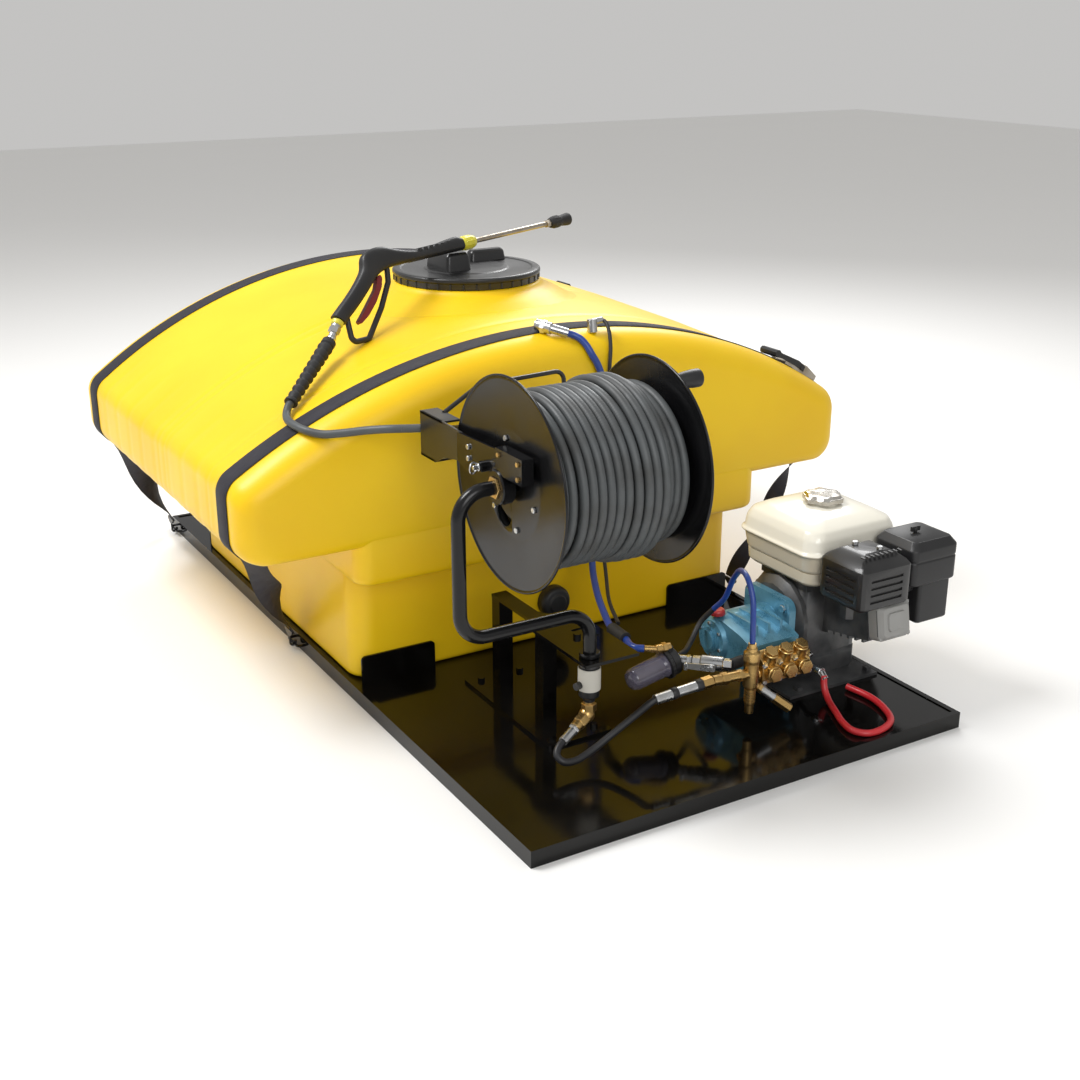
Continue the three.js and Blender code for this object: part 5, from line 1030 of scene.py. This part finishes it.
def addStand():
    refined("reel_stand", "glossBlack", 1.0)
    swivel = Form()
    bottom, r = 132.0, 26.5
    top = reel["topPlateZ"] - 0.3
    rising = [[12, 0], [14, 0], [14, 8], [24, 14], [24, 30], [24, 31], [r - 1.2, 31], [r - 1.2, 86], [22, 88]]
    turned(swivel, [[radius, bottom + height] for radius, height in rising] + [[22, top], [17, top]],
           [pivotX, pivotY, 0], [0, 0, 1], 64, round=1.5)
    rod(swivel, [pivotX - 22, pivotY, 178], [pivotX - 40, pivotY - 6, 178], 9, 32)
    addForm("swivelBody", swivel, "swivel_housing", "satinBlack")
    sleeve = Form()
    turned(sleeve, [[r - 1.4, 163], [r, 163.5], [r, 217], [r - 1.4, 217.5]], [pivotX, pivotY, 0], [0, 0, 1], 64,
           round=0.8)
    addForm("swivelBand", sleeve, "swivel_housing", "paleBand", trim=True)
    elbow = Form()
    knee = np.array([pivotX - 6, pivotY, 97.0])
    end = np.array(routes["pressure"][0], float)
    run = unit(end - knee)
    runs(elbow, [[bottom - 0.3, 104, 13, 32], [126, 106, 18, 6]], [pivotX, pivotY, 0], [0, 0, 1])
    ball(elbow, knee, 19)
    runs(elbow, [[0, 34, 17, 6], [30, 48, 14, 32]], knee, run)
    addForm("swivelElbow", elbow, "swivel_elbow", "brass")
    length = np.linalg.norm(end - knee) - 1
    addRuns("swivelNipple", [[46, length, 11, 32], [50, 57, 14, 6]], "swivel_elbow", "zinc", origin=knee, way=run)


routes = {
    "gun": [[-78, 1012, 727], [-86.56, 1004.96, 721.47], [-98, 989, 710], [-108, 958, 704], [-110, 916, 702],
            [-98, 866, 698], [-71, 836, 693], [-30, 807, 697], [13, 778, 704], [46, 743, 711]],
    "feed": [[607, 853, 852.6], [622, 848, 847], [636, 837, 838], [647, 823, 821], [656, 812, 799], [668, 808, 778],
             [681, 807.5, 748], [690, 807.5, 700], [687, 807.5, 612], [678, 807.5, 443], [664, 804, 325],
             [644, 780, 252], [600, 690, 212], [560, 590, 192], [536, 520, 184], [530, 450, 183], [522, 414, 181],
             [526.3, 397, 181], [533.2, 391.8, 181], [541.16, 385.78, 181]],
    "vent": [[720, 869, 872], [725, 858, 868], [723, 838, 848], [717, 820, 812], [709, 810, 772], [706, 810, 700],
             [702, 810, 571], [695, 810, 412], [690, 800, 285], [655, 730, 232], [600, 630, 205], [550, 512, 197]],
    "pressure": [[240, 268, 66], [226, 262, 60], [214, 250, 48], [222, 236, 36], [250, 232, 32], [300, 238, 42],
                 [345, 240, 62], [410, 226, 108], [440, 215, 134], [455, 213, 142]],
    "bypass": [[730, 213, 219.3], [730, 213.5, 240], [732, 217, 270], [739, 232, 325], [744, 262, 366],
               [760, 308, 364], [774, 350, 326], [776, 385, 260], [770, 420, 220], [752, 445, 180], [715, 430, 146],
               [668, 392, 142], [650, 382, 144], [635, 374.5, 145]],
    "drain": [[985, 238, 62], [980, 228, 34], [974, 205, 13], [950, 150, 9], [926, 95, 9], [920, 52, 9], [940, 26, 9],
              [985, 24, 9], [1035, 48, 9], [1066, 105, 9], [1078, 166, 9], [1069, 240, 9]],
}
splitPoint = np.array([78.0, 721.0, 713.0])  # where the end that turns with the arm starts
splitWay = unit([29, -16, 0.5])
restrictor = {"start": [86.0, 1147.0, 833.0], "end": [-78.0, 1012.0, 727.0], "rings": 9, "bore": 10.4,
              "ringRadius": 19.5, "ringDepth": 6.0, "taper": 3.5}
hoseRadius = {"feed": 9.0, "vent": 5.0, "bypass": 7.0, "bypassTail": 6.9, "pressure": 8.5}

# rods and nuts at the hoses' ends, as [start, end, radius, sides]
fittings = {
    "tank": [[[549, 907, 870.6], [571, 868, 864.6], 15, 32], [[556, 894, 868.6], [563, 882, 866.8], 17.5, 6],
             [[568, 873, 866], [608, 852.5, 852], 12, 32], [[691, 866, 842.9], [691, 870, 876], 13, 32],
             [[691, 869, 869], [722, 869, 872], 8, 24]],
    "feedSleeve": [[[536, 520, 184], [529, 448, 186], 15, 32]],
    "drain": [[[985, 262, 66], [985, 246, 66], 12, 32], [[985, 250, 66], [985, 232, 52], 9.4, 32]],
    "pressureEnd": [[[498, 213, 144], [514, 213, 145], 14, 32], [[566, 213, 147.2], [586, 213, 148], 14.5, 6]],
    "pressureCrimp": [[[453, 213, 141], [500, 213, 144], 12, 32],
                      *[[[x, 213, 141.6], [x + 5, 213, 142], 12.6, 32] for x in (462, 472, 482, 492)],
                      [[513, 213, 145], [567, 213, 147.2], 12.5, 32]],
    "pressureNut": [[[585, 213, 148], [613.5, 213, 149], 15, 6]],
}


def atSplit(d):
    return (splitPoint + splitWay * d).tolist()


def addHose(name, node, path, radius, sides, finish, **more):
    form = Form()
    tube(form, path, radius, sides)
    return addForm(name, form, node, finish, **more)


# A free hose: a tube on its centre line.
def freeHose(name, node, path, finish, diameter=hose["diameter"]):
    piece = addHose(name, node, path, diameter / 2, 20, finish, smoothAngle=60)


def addFreeHoses():
    sleeve = addRestrictor()
    start, end = np.array(restrictor["start"]), np.array(restrictor["end"])
    inside = start + (end - start) * np.linspace(0.002, 0.94, 12)[:, None]
    gunPath = np.vstack([inside, smoothPath(routes["gun"] + [atSplit(-18), atSplit(-9), atSplit(-0.15)], 90)])
    freeHose("gunHose", "gun_hose", gunPath, "hoseGrey")
    start = windingPath()[-1] + windingLead * 0.6
    lead = smoothPath([start, start + windingLead * 20, [158, 590, 733], [155, 650, 718], atSplit(48), atSplit(24),
                       atSplit(10), atSplit(0.15)], 60)
    freeHose("hoseLead", "hose_lead", lead, "hoseGrey")
    union = addRuns("drainFitting", fittings["drain"], "drain_hose", "zinc")
    freeHose("drainHose", "drain_hose", smoothPath(routes["drain"], 90), "hoseRed", diameter=16.8)


# Rubber sleeve with raised rings that taper down the hose.
def addRestrictor():
    start, end = np.array(restrictor["start"]), np.array(restrictor["end"])
    length = np.linalg.norm(end - start) - 0.3
    rings, bore = restrictor["rings"], restrictor["bore"]
    profile = [[bore, 0], [18, 0], [18.5, 14]]
    for k in range(rings):
        place = 18 + k * (length - 32) / rings
        r = restrictor["ringRadius"] - restrictor["taper"] * k / rings
        low = r - restrictor["ringDepth"]
        profile += [[low, place], [low, place + 3], [r, place + 7], [r, place + 13]]
    profile += [[12, length - 12], [17, length - 8], [17, length], [bore, length]]
    form = Form()
    turned(form, profile, start, end - start, 40, round=1.6)
    return addForm("hoseSleeve", form, "bend_restrictor", "rubberBlack", smoothAngle=60)


def addFixedHoses():
    radius = hoseRadius
    addHose("feedHose", "feed_hose", smoothPath(routes["feed"], 130), radius["feed"], 16, "hoseBlue", smoothAngle=60)
    addRuns("tankFittings", fittings["tank"], "feed_hose", "zinc")
    addRuns("feedSleeve", fittings["feedSleeve"], "feed_hose", "rubberBlack")
    addHose("ventHose", "vent_hose", smoothPath(routes["vent"], 110), radius["vent"], 12, "hoseBlack", smoothAngle=60)
    bypass = smoothPath(routes["bypass"], 120)
    low = int(len(bypass) * 0.66)
    addHose("bypassHose", "bypass_hose", bypass[:low], radius["bypass"], 14, "hoseBlue", smoothAngle=60)
    addHose("bypassTail", "bypass_hose", bypass[low - 1:], radius["bypassTail"], 14, "hoseBlack", trim=True)
    pressure = Form()
    tube(pressure, smoothPath(routes["pressure"], 80), radius["pressure"], 20)
    runs(pressure, fittings["pressureEnd"])
    addForm("pressureHose", pressure, "pressure_hose", "hoseBlack", smoothAngle=45)
    addRuns("pressureCrimp", fittings["pressureCrimp"], "pressure_hose", "zinc")
    addRuns("pressureNut", fittings["pressureNut"], "pressure_hose", "brass")


# The gun's own frame has X along the barrel and Z up in the handle's plane. Lines of curves are listed as
# end, handle, handle, end and so on.
gun = {
    "place": [320.4, 1272.8, 993.9], "yaw": 15.3, "pitch": 3.3, "roll": 22.0, "thick": 34.0, "barrelZ": 4.0,
    "top": [[236, 27], [190, 25], [120, 12], [91, 14], [60, 17], [30, 26], [0, 38], [-30, 50], [-60, 47], [-84, 33],
            [-100, 20], [-92, 6], [-108, -8], [-130, -30], [-170, -58], [-204, -78]],
    "bottom": [[255, -12], [120, -10], [60, -12], [10, -12], [-20, -14], [-50, -18], [-70, -34], [-110, -64],
               [-150, -92], [-186, -112]],
    "guard": [[-18, 0, -14], [-28, 0, -48], [-76, 0, -108], [-146, 0, -176.6], [-200, 0, -174.8], [-192, 0, -108]],
    "trigger": [[-64, -31.2], [-52, -24.7], [-48, -34], [-60, -58], [-92, -92], [-128, -120], [-160, -136],
                [-166, -128], [-140, -108], [-104, -78], [-80, -58], [-72, -46]],
    "collar": [[10, 255.3], [18, 255.3], [19.5, 264], [19.5, 290], [15, 303], [8, 304]],
    "nozzle": [[7.8, 606.3], [13, 606.3], [17, 620], [17, 640], [15, 650], [18, 676], [18, 684], [11, 684], [11, 664],
               [7.8, 660]],
    "lance": [[304.3, 600, 7.5, 32], [590, 606, 11, 6]], "tip": [[640, 672, 7.4, 24]],
    "inlet": [-221.0, 0.0, -113.0], "inletRuns": [[12, 22, 13, 32], [20, 38, 15, 6]],
    "inletRing": [[0, 14, 16, 40, 2]],
    "collarKnurl": [12, 18.6, 262, 290, 1.7, 10], "nozzleKnurl": [14, 16.6, 620, 642, 1.3, 8],
    "topEnds": [[255, 19], [-234, -97]], "bottomEnd": [-206, -127], "guardRadius": 7.6, "triggerHalf": 9.0,
}


# Turn of the gun's frame: roll, then pitch, then yaw.
def gunMatrix():
    a, b, c = radians(-gun["roll"]), radians(-gun["pitch"]), radians(gun["yaw"])
    rx = np.array([[1, 0, 0], [0, cos(a), -sin(a)], [0, sin(a), cos(a)]])
    ry = np.array([[cos(b), 0, sin(b)], [0, 1, 0], [-sin(b), 0, cos(b)]])
    rz = np.array([[cos(c), -sin(c), 0], [sin(c), cos(c), 0], [0, 0, 1]])
    return rz @ ry @ rx


def onGun(form):
    form.points = [points @ gunMatrix().T + np.array(gun["place"]) for points in form.points]
    return form


# Points of a cubic curve from p to s, shaped by q and r.
def bezier(p, q, r, s, steps=10):
    p, q, r, s = (np.asarray(v, float) for v in (p, q, r, s))
    t = np.linspace(0, 1, steps + 1)[:, None]
    return (1 - t) ** 3 * p + 3 * t * (1 - t) ** 2 * q + 3 * t * t * (1 - t) * r + t ** 3 * s


# Cubic curves joined end to end, listed as end, handle, handle, end and so on.
def curves(points):
    return np.vstack([points[:1], *[bezier(*points[i:i + 4])[1:] for i in range(0, len(points) - 1, 3)]])


# The handle's sides: upper and lower edges at matching places, with a rounded section between them:
# y = half sin^0.55 a, z = middle + reach cos^0.85 a, with the signs of sin a and cos a kept.
def handleSkin(form, upper, lower, half, count=60):
    def even(line):
        along = distances(line)
        place = np.linspace(0, along[-1], count)
        return np.stack([np.interp(place, along, line[:, k]) for k in range(2)], 1)
    top, low = even(upper), even(lower)
    a = np.linspace(0, 2 * pi, 28, endpoint=False)
    s = np.sign(np.cos(a)) * np.abs(np.cos(a)) ** 0.85
    y = half * np.sign(np.sin(a)) * np.abs(np.sin(a)) ** 0.55
    middle, reach = (top + low) / 2, (top - low) / 2
    xz = middle[:, None] + reach[:, None] * s[None, :, None]
    points = np.stack([xz[..., 0], np.broadcast_to(y, xz.shape[:2]), xz[..., 1]], -1)
    form.grid(points)


def addGun():
    half = gun["thick"] / 2
    barrel, forward = [0, 0, gun["barrelZ"]], [1, 0, 0]
    body = Form()
    upper = np.vstack([gun["topEnds"][:1], curves(gun["top"]), gun["topEnds"][1:]])
    lower = np.vstack([curves(gun["bottom"]), [gun["bottomEnd"]]])
    handleSkin(body, upper, lower, half)
    rod(body, [60, 0, 3], [255, 0, 4], 16, 40, 17, edge=2)
    tube(body, bentPath(gun["guard"], 16, 8), gun["guardRadius"], 16)
    for k in range(6):
        block(body, 96 + k * 20, 104 + k * 20, -half + 0.2, half - 0.2, 8, 17.5)
    addForm("gunBody", onGun(body), "gun_body", "plasticBlack", smoothAngle=45, bevel=0.8)
    trigger = Form()
    slab(trigger, roundedRing(gun["trigger"], 5), "xzy", -gun["triggerHalf"], gun["triggerHalf"], 1.2)
    addForm("gunTrigger", onGun(trigger), "gun_trigger", "triggerRed")
    collar = Form()
    turned(collar, gun["collar"], barrel, forward, 48, round=2)
    knurl(collar, barrel, forward, *gun["collarKnurl"])
    addForm("gunCollar", onGun(collar), "gun_collar", "collarYellow")
    lance = Form()
    runs(lance, gun["lance"], barrel, forward)
    addForm("gunLance", onGun(lance), "gun_lance", "steel")
    nozzle = Form()
    turned(nozzle, gun["nozzle"], barrel, forward, 48, round=1.5, closed=True)
    knurl(nozzle, barrel, forward, *gun["nozzleKnurl"])
    addForm("nozzleGuard", onGun(nozzle), "nozzle_guard", "rubberBlack")
    tip = Form()
    runs(tip, gun["tip"], barrel, forward)
    addForm("nozzleTip", onGun(tip), "nozzle_guard", "brass", trim=True)
    inlet = Form()
    down = unit([-1, 0, -1])
    start = np.array(gun["inlet"]) + down * 0.3
    sleeve, sleeveEnd = np.array(restrictor["start"]), np.array(restrictor["end"])
    knuckle = (sleeve + unit(sleeve - sleeveEnd) * 12.3 - gun["place"]) @ gunMatrix()
    runs(inlet, gun["inletRuns"], start, down)
    rod(inlet, start + down * 34, knuckle, 10, 32)
    ball(inlet, knuckle, 12)
    addForm("gunInlet", onGun(inlet), "gun_inlet", "zinc")
    ring = Form()
    runs(ring, gun["inletRing"], start, down)
    addForm("gunInletRing", onGun(ring), "gun_inlet", "collarYellow", trim=True)


# Boxes are listed as softBox takes them: sides, corner radius, [z, inset] levels, corner steps, rounding.
engine = {
    "crank": [440.0, 140.0], "recoilFace": 1300.0, "tankFloor": 266.0, "cap": [1131.0, 449.0], "seam": 356.0,
    "coverPlace": [1115.0, 340.0, 186.0], "coverTilt": 10.0,
    "coverBoxes": [[-53, 53, -51, 45, 14, [[0.3, 0], [4, 0], [30, 1], [42, 12]], 6],
                   [-30, 30, -28, 22, 10, [[40, 0], [46, 3]], 5, 2]],
    "coverBolts": [[[x, y, 24], [x, y, 34], 7, 6, 0.8] for x, y in ((-44, -42), (44, -42), (-44, 36), (44, 36))],
    "tankBox": [967, 1265, 290, 590, 46,
                [[300, 22], [308, 10], [350, 3], [353, -4], [359, -4], [362, 2], [392, 6], [412, 16], [430, 50]],
                12, 6],
    "capRows": [[436.3, -1.5], [437.5, 0], [447.5, 0], [449, -1.2], [449.3, -4], [455, -9], [456, -13], [455.4, -22],
                [455.4, -48]],
    "guardNuts": [[[x, y, 398], [x, y, 407], 8, 6] for x, y in ((1052, 236), (1080, 180))],
    "cleanerBoxes": [[1158, 1309, 140, 284, 18, [[290, 8], [296, 0], [352, 0], [354, 1.5], [357, 1.5], [359, 0],
                                                 [384, 0], [403, 14]], 8, 3],
                     [1196, 1300, 150, 240, 10, [[186, 4], [190, 0], [297, 0]], 6, 2],
                     [1150, 1200, 170, 270, 10, [[268, 4], [272, 0], [301, 0]], 6, 2]],
}


def addEngine():
    refined("engine_block", "engineGrey", 1.6)
    cover = Form()
    for box in engine["coverBoxes"]:
        softBox(cover, *box)
    runs(cover, engine["coverBolts"])
    tilt = radians(engine["coverTilt"])
    # turned so that its height runs towards the tail, then tipped with the cylinder
    cover.points = [np.stack([p[:, 0], -p[:, 2] - 163.5, p[:, 1]], -1) for p in cover.points]
    tip = np.array([[1, 0, 0], [0, cos(tilt), sin(tilt)], [0, -sin(tilt), cos(tilt)]])
    cover.points = [p @ tip.T + engine["coverPlace"] for p in cover.points]
    fuel = Form()
    floor = engine["tankFloor"]
    softBox(fuel, *engine["tankBox"])
    softBox(fuel, 980, 1168, 306, 574, 34, [[floor, 12], [floor + 10, 2], [304, 0]], 10, 3)
    x, y = engine["cap"]
    rod(fuel, [x, y, 425], [x, y, 436], 40, 48, edge=2)
    addForm("fuelTank", fuel, "fuel_tank", fuelTankPaint((engine["seam"] + deck["height"]) / 1000), smoothAngle=50)
    # the cap's grip: six lobes, r = 50.5 + 3.5 cos 6 a, drawn in by an inset at each height
    cap = Form()
    a = np.linspace(0, 2 * pi, 144, endpoint=False)
    r = 50.5 + 3.5 * np.cos(6 * a)
    cap.grid([np.stack([x + (r + inset) * np.cos(a), y + (r + inset) * np.sin(a), np.full(len(a), z)], -1)
              for z, inset in engine["capRows"]])
    addForm("fuelCap", cap, "fuel_cap", "capSteel", smoothAngle=30)
    refined("muffler_guard", "satinBlack", 1.2)
    addRuns("guardNuts", engine["guardNuts"], "muffler_guard", "zinc")
    vents = Form()
    for k in range(9):
        block(vents, 1002 + k * 14.5, 1008 + k * 14.5, 150, 163, 396.5, 399.2)
    addForm("guardRidges", vents, "muffler_guard", "satinBlack", trim=True)
    cleaner = Form()
    for box in engine["cleanerBoxes"]:
        softBox(cleaner, *box)
    rod(cleaner, [1228, 214, 400], [1228, 214, 418], 5, 20)
    block(cleaner, 1214, 1242, 211, 217, 408, 420)
    addForm("airCleaner", cleaner, "air_cleaner", "plasticBlack", smoothAngle=48)
    refined("recoil_cover", "satinBlack", 1.5)
    handle = Form()
    hx, hy, hz = engine["recoilFace"] + 2.3, engine["crank"][0] - 103, engine["crank"][1] + 82
    rod(handle, [hx, hy, hz], [hx + 14, hy, hz], 8, 24)
    slab(handle, roundOutline(hy - 42, hy + 42, hz - 11, hz + 11, 10.8), "yzx", hx + 12, hx + 34, 2)
    addForm("starterGrip", handle, "recoil_handle", "plasticBlack", smoothAngle=50)
    refined("throttle_lever", "plasticBlack", 0.8)
    refined("engine_switch", "capRed", 1.0)
    addForm("rockerCover", cover, "engine_block", "coverGrey", trim=True)


pump = {
    "y": 436.0, "z": 132.0, "manifoldX": [775.0, 930.0], "manifoldY": [215.0, 290.0], "manifoldZ": [92.0, 168.0],
    "capX": 796.0, "capRise": 60.3, "capProfile": [[0.2, 0], [9, 0], [9, 2], [20, 4], [20, 14], [16, 19], [0.2, 20]],
    "unloader": [730.0, 213.0, 140.0], "unloaderTurn": [752.0, 253.0, 110.0],
    "unloaderProfile": [[0.2, 37], [11, 37], [11, 60], [13, 62], [13, 104], [18, 108], [18, 168], [20, 176],
                        [20, 196], [13, 200], [13, 207], [10, 208], [10, 219], [0.2, 219]],
    "injector": [[741, 232.5, 111], [829.0, 180, 36]], "injectorStart": 13.4,
    "injectorRuns": [[0, 0.3, 9, 32], [0.55, 1, 13, 6], [0.12, 0.22, 12, 6]],
    "injectorSleeve": [[0.2, 0.62, 11, 32], [0.24, 0.30, 12, 32]],
    "filter": [598.0, 362.0, 141.0], "filterTip": -0.21,
    "filterUnion": [[[612, 364, 146], [634.5, 374.3, 145], 6, 24]],
    "filterInlet": [[[600, 362, 181], [562, 368, 181], 11, 32], [[590, 363.6, 181], [578, 365.5, 181], 14, 6],
                    [[566, 367, 181], [541.4, 385.6, 181], 8, 24]],
    "bowlProfile": [[31, 14.3], [31, 22], [29, 26], [28, 104], [22, 116], [8, 122], [0.2, 122]],
    "screenProfile": [[0.2, 20], [17, 20], [17, 98], [0.2, 98]],
    "valve": [[638.3, 321.3, 150.0], [704.0, 252.0, 152.0]], "stem": 26.0,
    "valveRuns": [[0, 0.3, 15, 6], [0.2, 0.8, 18, 40, 3], [0.7, 1, 15, 6]],
    "leverOutline": [[-62, -7], [-10, -9], [12, -9], [12, 9], [-10, 9], [-62, 7]],
    "leverGrip": [[-63, -9], [-54, -9], [-54, 9], [-63, 9]],
}


def addPump():
    refined("pump_crankcase", "pumpBlue", 2.2)
    y, z = pump["y"], pump["z"]
    crank, across, up = [0, y, z], [1, 0, 0], [0, 0, 1]
    trim = Form()
    turned(trim, [[0.2, 764], [26, 764.5], [26, 773], [0.2, 773]], crank, across, 48)
    turned(trim, [[60.4, 800], [61.6, 802], [61.6, 950], [60.4, 952]], crank, across, 64)
    addForm("pumpBarrel", trim, "pump_crankcase", "pumpBlue", trim=True)
    screws = Form()
    knurl(screws, crank, across, 6, 42, 774, 779, 5, 6, turn=0.4)
    for a, b in ((-1, -1), (-1, 1), (1, -1), (1, 1)):
        hexagon(screws, [946, y + a * 68, z + 2 + b * 68], [954, y + a * 68, z + 2 + b * 68], 10)
    addForm("pumpScrews", screws, "pump_crankcase", "zinc", trim=True)
    cap = Form()
    base = z + pump["capRise"]
    turned(cap, [[r, base + rise] for r, rise in pump["capProfile"]], [pump["capX"], y, 0], up, 48, round=1.5)
    knurl(cap, [pump["capX"], y, 0], up, 16, 19.6, base + 5, base + 13, 1.2, 8, turn=pi / 2)
    addForm("pumpOilCap", cap, "pump_oil_cap", "capRed")
    addManifold()
    addUnloader()
    addFilter()
    addValve()


def addManifold():
    (x0, x1), (y0, y1), (z0, z1) = pump["manifoldX"], pump["manifoldY"], pump["manifoldZ"]
    form = Form()
    outline = [[y0 + 12, z0], [y1, z0], [y1, z1 - 26], [y1 - 30, z1], [y0 + 12, z1 - 20]]
    slab(form, roundedRing(outline, 6), "yzx", x0 + 4, x1 - 4, 1.5)
    rod(form, [x0, y0 + 40, z0 + 18], [x1, y0 + 40, z0 + 18], 21, 40, edge=2)
    for t in (0.2, 0.5, 0.8):
        runs(form, [[[0, 20, 26], [0, -3, 26], 20, 40, 2], [[0, -2, 26], [0, -10, 26], 19, 6],
                    [[0, 30, z1 - z0 - 34], [0, 18, z1 - z0 + 1], 19, 40, 2],
                    [[0, 18, z1 - z0], [0, 14, z1 - z0 + 8], 17, 6]], shift=[x0 + (x1 - x0) * t, y0, z0])
    addForm("pumpManifold", form, "pump_manifold", "brass", bevel=0.6)
    bolts = Form()
    for t in (0.05, 0.35, 0.65, 0.95):
        runs(bolts, [[[0, 14, z1 - z0 - 26], [0, 5, z1 - z0 - 30], 6.5, 6], [[0, 12, 6], [0, 5, 6], 6.5, 6]],
             shift=[x0 + (x1 - x0) * t, y0, z0])
    addForm("manifoldBolts", bolts, "pump_manifold", "zinc", trim=True)


def addUnloader():
    x, y, z = pump["unloader"]
    form = Form()
    turned(form, pump["unloaderProfile"], [x, y, 0], [0, 0, 1], 48, round=1.2)
    for low in range(66, 101, 7):
        turned(form, [[12.4, low], [14, low + 1], [14, low + 4], [12.4, low + 5]], [x, y, 0], [0, 0, 1], 40)
    turn = np.array(pump["unloaderTurn"])
    runs(form, [[[615.5, y, z + 9], [x + 6, y, z], 12, 32], [[640, y, z + 7], [660, y, z + 5], 15, 6],
                [[690, y, z + 3], [704, y, z + 2], 14.5, 6], [[x, y, 112], turn, 13, 32]])
    ball(form, turn, 14)
    rod(form, turn - [10, 0, 0], [pump["manifoldX"][0] - 0.3, turn[1], turn[2]], 13, 32)
    addForm("unloaderBody", form, "unloader", "brass")
    branch, end = np.array(pump["injector"])
    start = branch + unit(end - branch) * pump["injectorStart"]
    line = {"origin": start, "way": end - start}
    addRuns("injectorBody", pump["injectorRuns"], "injector", "brass", trim=False, **line)
    addRuns("injectorSleeve", pump["injectorSleeve"], "injector", "zinc", **line)


def addFilter():
    point = np.array(pump["filter"])
    axis = unit([-1, 0, pump["filterTip"]])
    head = Form()
    runs(head, [[-18, 5, 35, 48, 3], [4, 14, 38, 48, 1.5]], point, axis)
    knurl(head, point, axis, 24, 37.4, 4.6, 13.4, 1.6, 8)
    runs(head, [[point - axis * 14, [622, 342, 149], 14, 32], [[598, 362, 160], [594, 362, 182], 12, 32]])
    addForm("filterHead", head, "filter_head", "plasticBlack")
    start, end = np.array(pump["valve"])
    way = unit(end - start)
    union = [[[616, 348, 149], start - way * 1.4, 13, 32], [start - way * 14, start - way * 5, 15, 6]]
    addRuns("filterUnion", union + pump["filterUnion"], "filter_head", "zinc")
    addRuns("filterInlet", pump["filterInlet"], "filter_head", "brass")
    bowl = Form()
    turned(bowl, pump["bowlProfile"], point, axis, 64, round=3)
    addForm("filterBowl", bowl, "filter_bowl", "filterSmoke", smoothAngle=60)
    screen = Form()
    turned(screen, pump["screenProfile"], point, axis, 32, round=2)
    addForm("filterScreen", screen, "filter_bowl", "steel", trim=True)


def addValve():
    start, end = np.array(pump["valve"])
    middle, way = (start + end) / 2, unit(end - start)
    stem = unit([way[1], -way[0], 0])
    form = Form()
    runs(form, pump["valveRuns"], start, end - start)
    rod(form, middle, middle + stem * pump["stem"], 7, 24)
    rod(form, [742, 262, 150], [pump["manifoldX"][0] + 3.7, 262, 150], 12.5, 32)
    addForm("suctionValve", form, "suction_valve", "zinc")
    addRuns("suctionStub", [[start + (end - start) * 0.95, [744, 262, 151], 14, 32]], "suction_valve", "rubberBlack")
    lever = Form()
    slab(lever, roundedRing(pump["leverOutline"], 5), "xyz", 0.2, 4, 0.6)
    slab(lever, roundedRing(pump["leverGrip"], 3), "xyz", 2, 10, 0.8)
    hexagon(lever, [0, 0, 3.8], [0, 0, 9.5], 7)
    turn = np.stack([way, np.cross(stem, way), stem], -1)
    lever.points = [p @ turn.T + middle + stem * (pump["stem"] + 0.3) for p in lever.points]
    addForm("valveLever", lever, "valve_lever", "zinc")


# The lever's short corners are drawn in to a radius, so that it turns clear of the tank's rounded top.
def addRatchetHandle(label, reach=0.0122):
    obj = refined(f"ratchet_handle_{label}", "plasticBlack", 1.0)
    corners = np.array([v.co for v in obj.data.vertices])
    end = corners[corners[:, 1] > corners[:, 1].max() - 1e-4][:, [0, 2]]
    far = end[:, 0] > end[:, 0].mean()
    spindle, grip = end[far].mean(0), end[~far].mean(0)
    for vertex in obj.data.vertices:
        offset = np.array([vertex.co.x, vertex.co.z]) - spindle
        away = np.linalg.norm(offset)
        if offset @ (grip - spindle) < 0 and away > reach:
            vertex.co.x, vertex.co.z = spindle + offset * reach / away


def addDeck():
    refined("deck_frame", "glossBlack", 1.6)
    refined("deck_plate", "glossBlack", 0.9)
    for label in labels:
        refined(f"ratchet_frame_{label}", "steel", 0.7)
        addRatchetHandle(label)


def addFloor():
    half = 15.0
    mesh = bpy.data.meshes.new("floor")
    mesh.from_pydata([(-half, -half, 0), (half, -half, 0), (half, half, 0), (-half, half, 0)], [], [(0, 1, 2, 3)])
    floor = linked("floor", mesh)
    shade = Shade("floorPaper")
    paper = shade.mix(shade.noise(1.5, 2) * 0.2, (0.86, 0.855, 0.84), (0.82, 0.815, 0.80))
    mesh.materials.append(shade.done(Base_Color=paper, Roughness=0.75))


addCamera()
addLights()
addFloor()
addFreeHoses()
print("camera and cords placed")
addTank()
addLid()
addStraps()
addHooks()
print("tank and straps dressed")
addDeck()
addReel()
addWinding()
addArm()
addGuide()
addStand()
print("reel dressed")
addGun()
addEngine()
addPump()
addFixedHoses()
print("engine, pump and gun dressed")
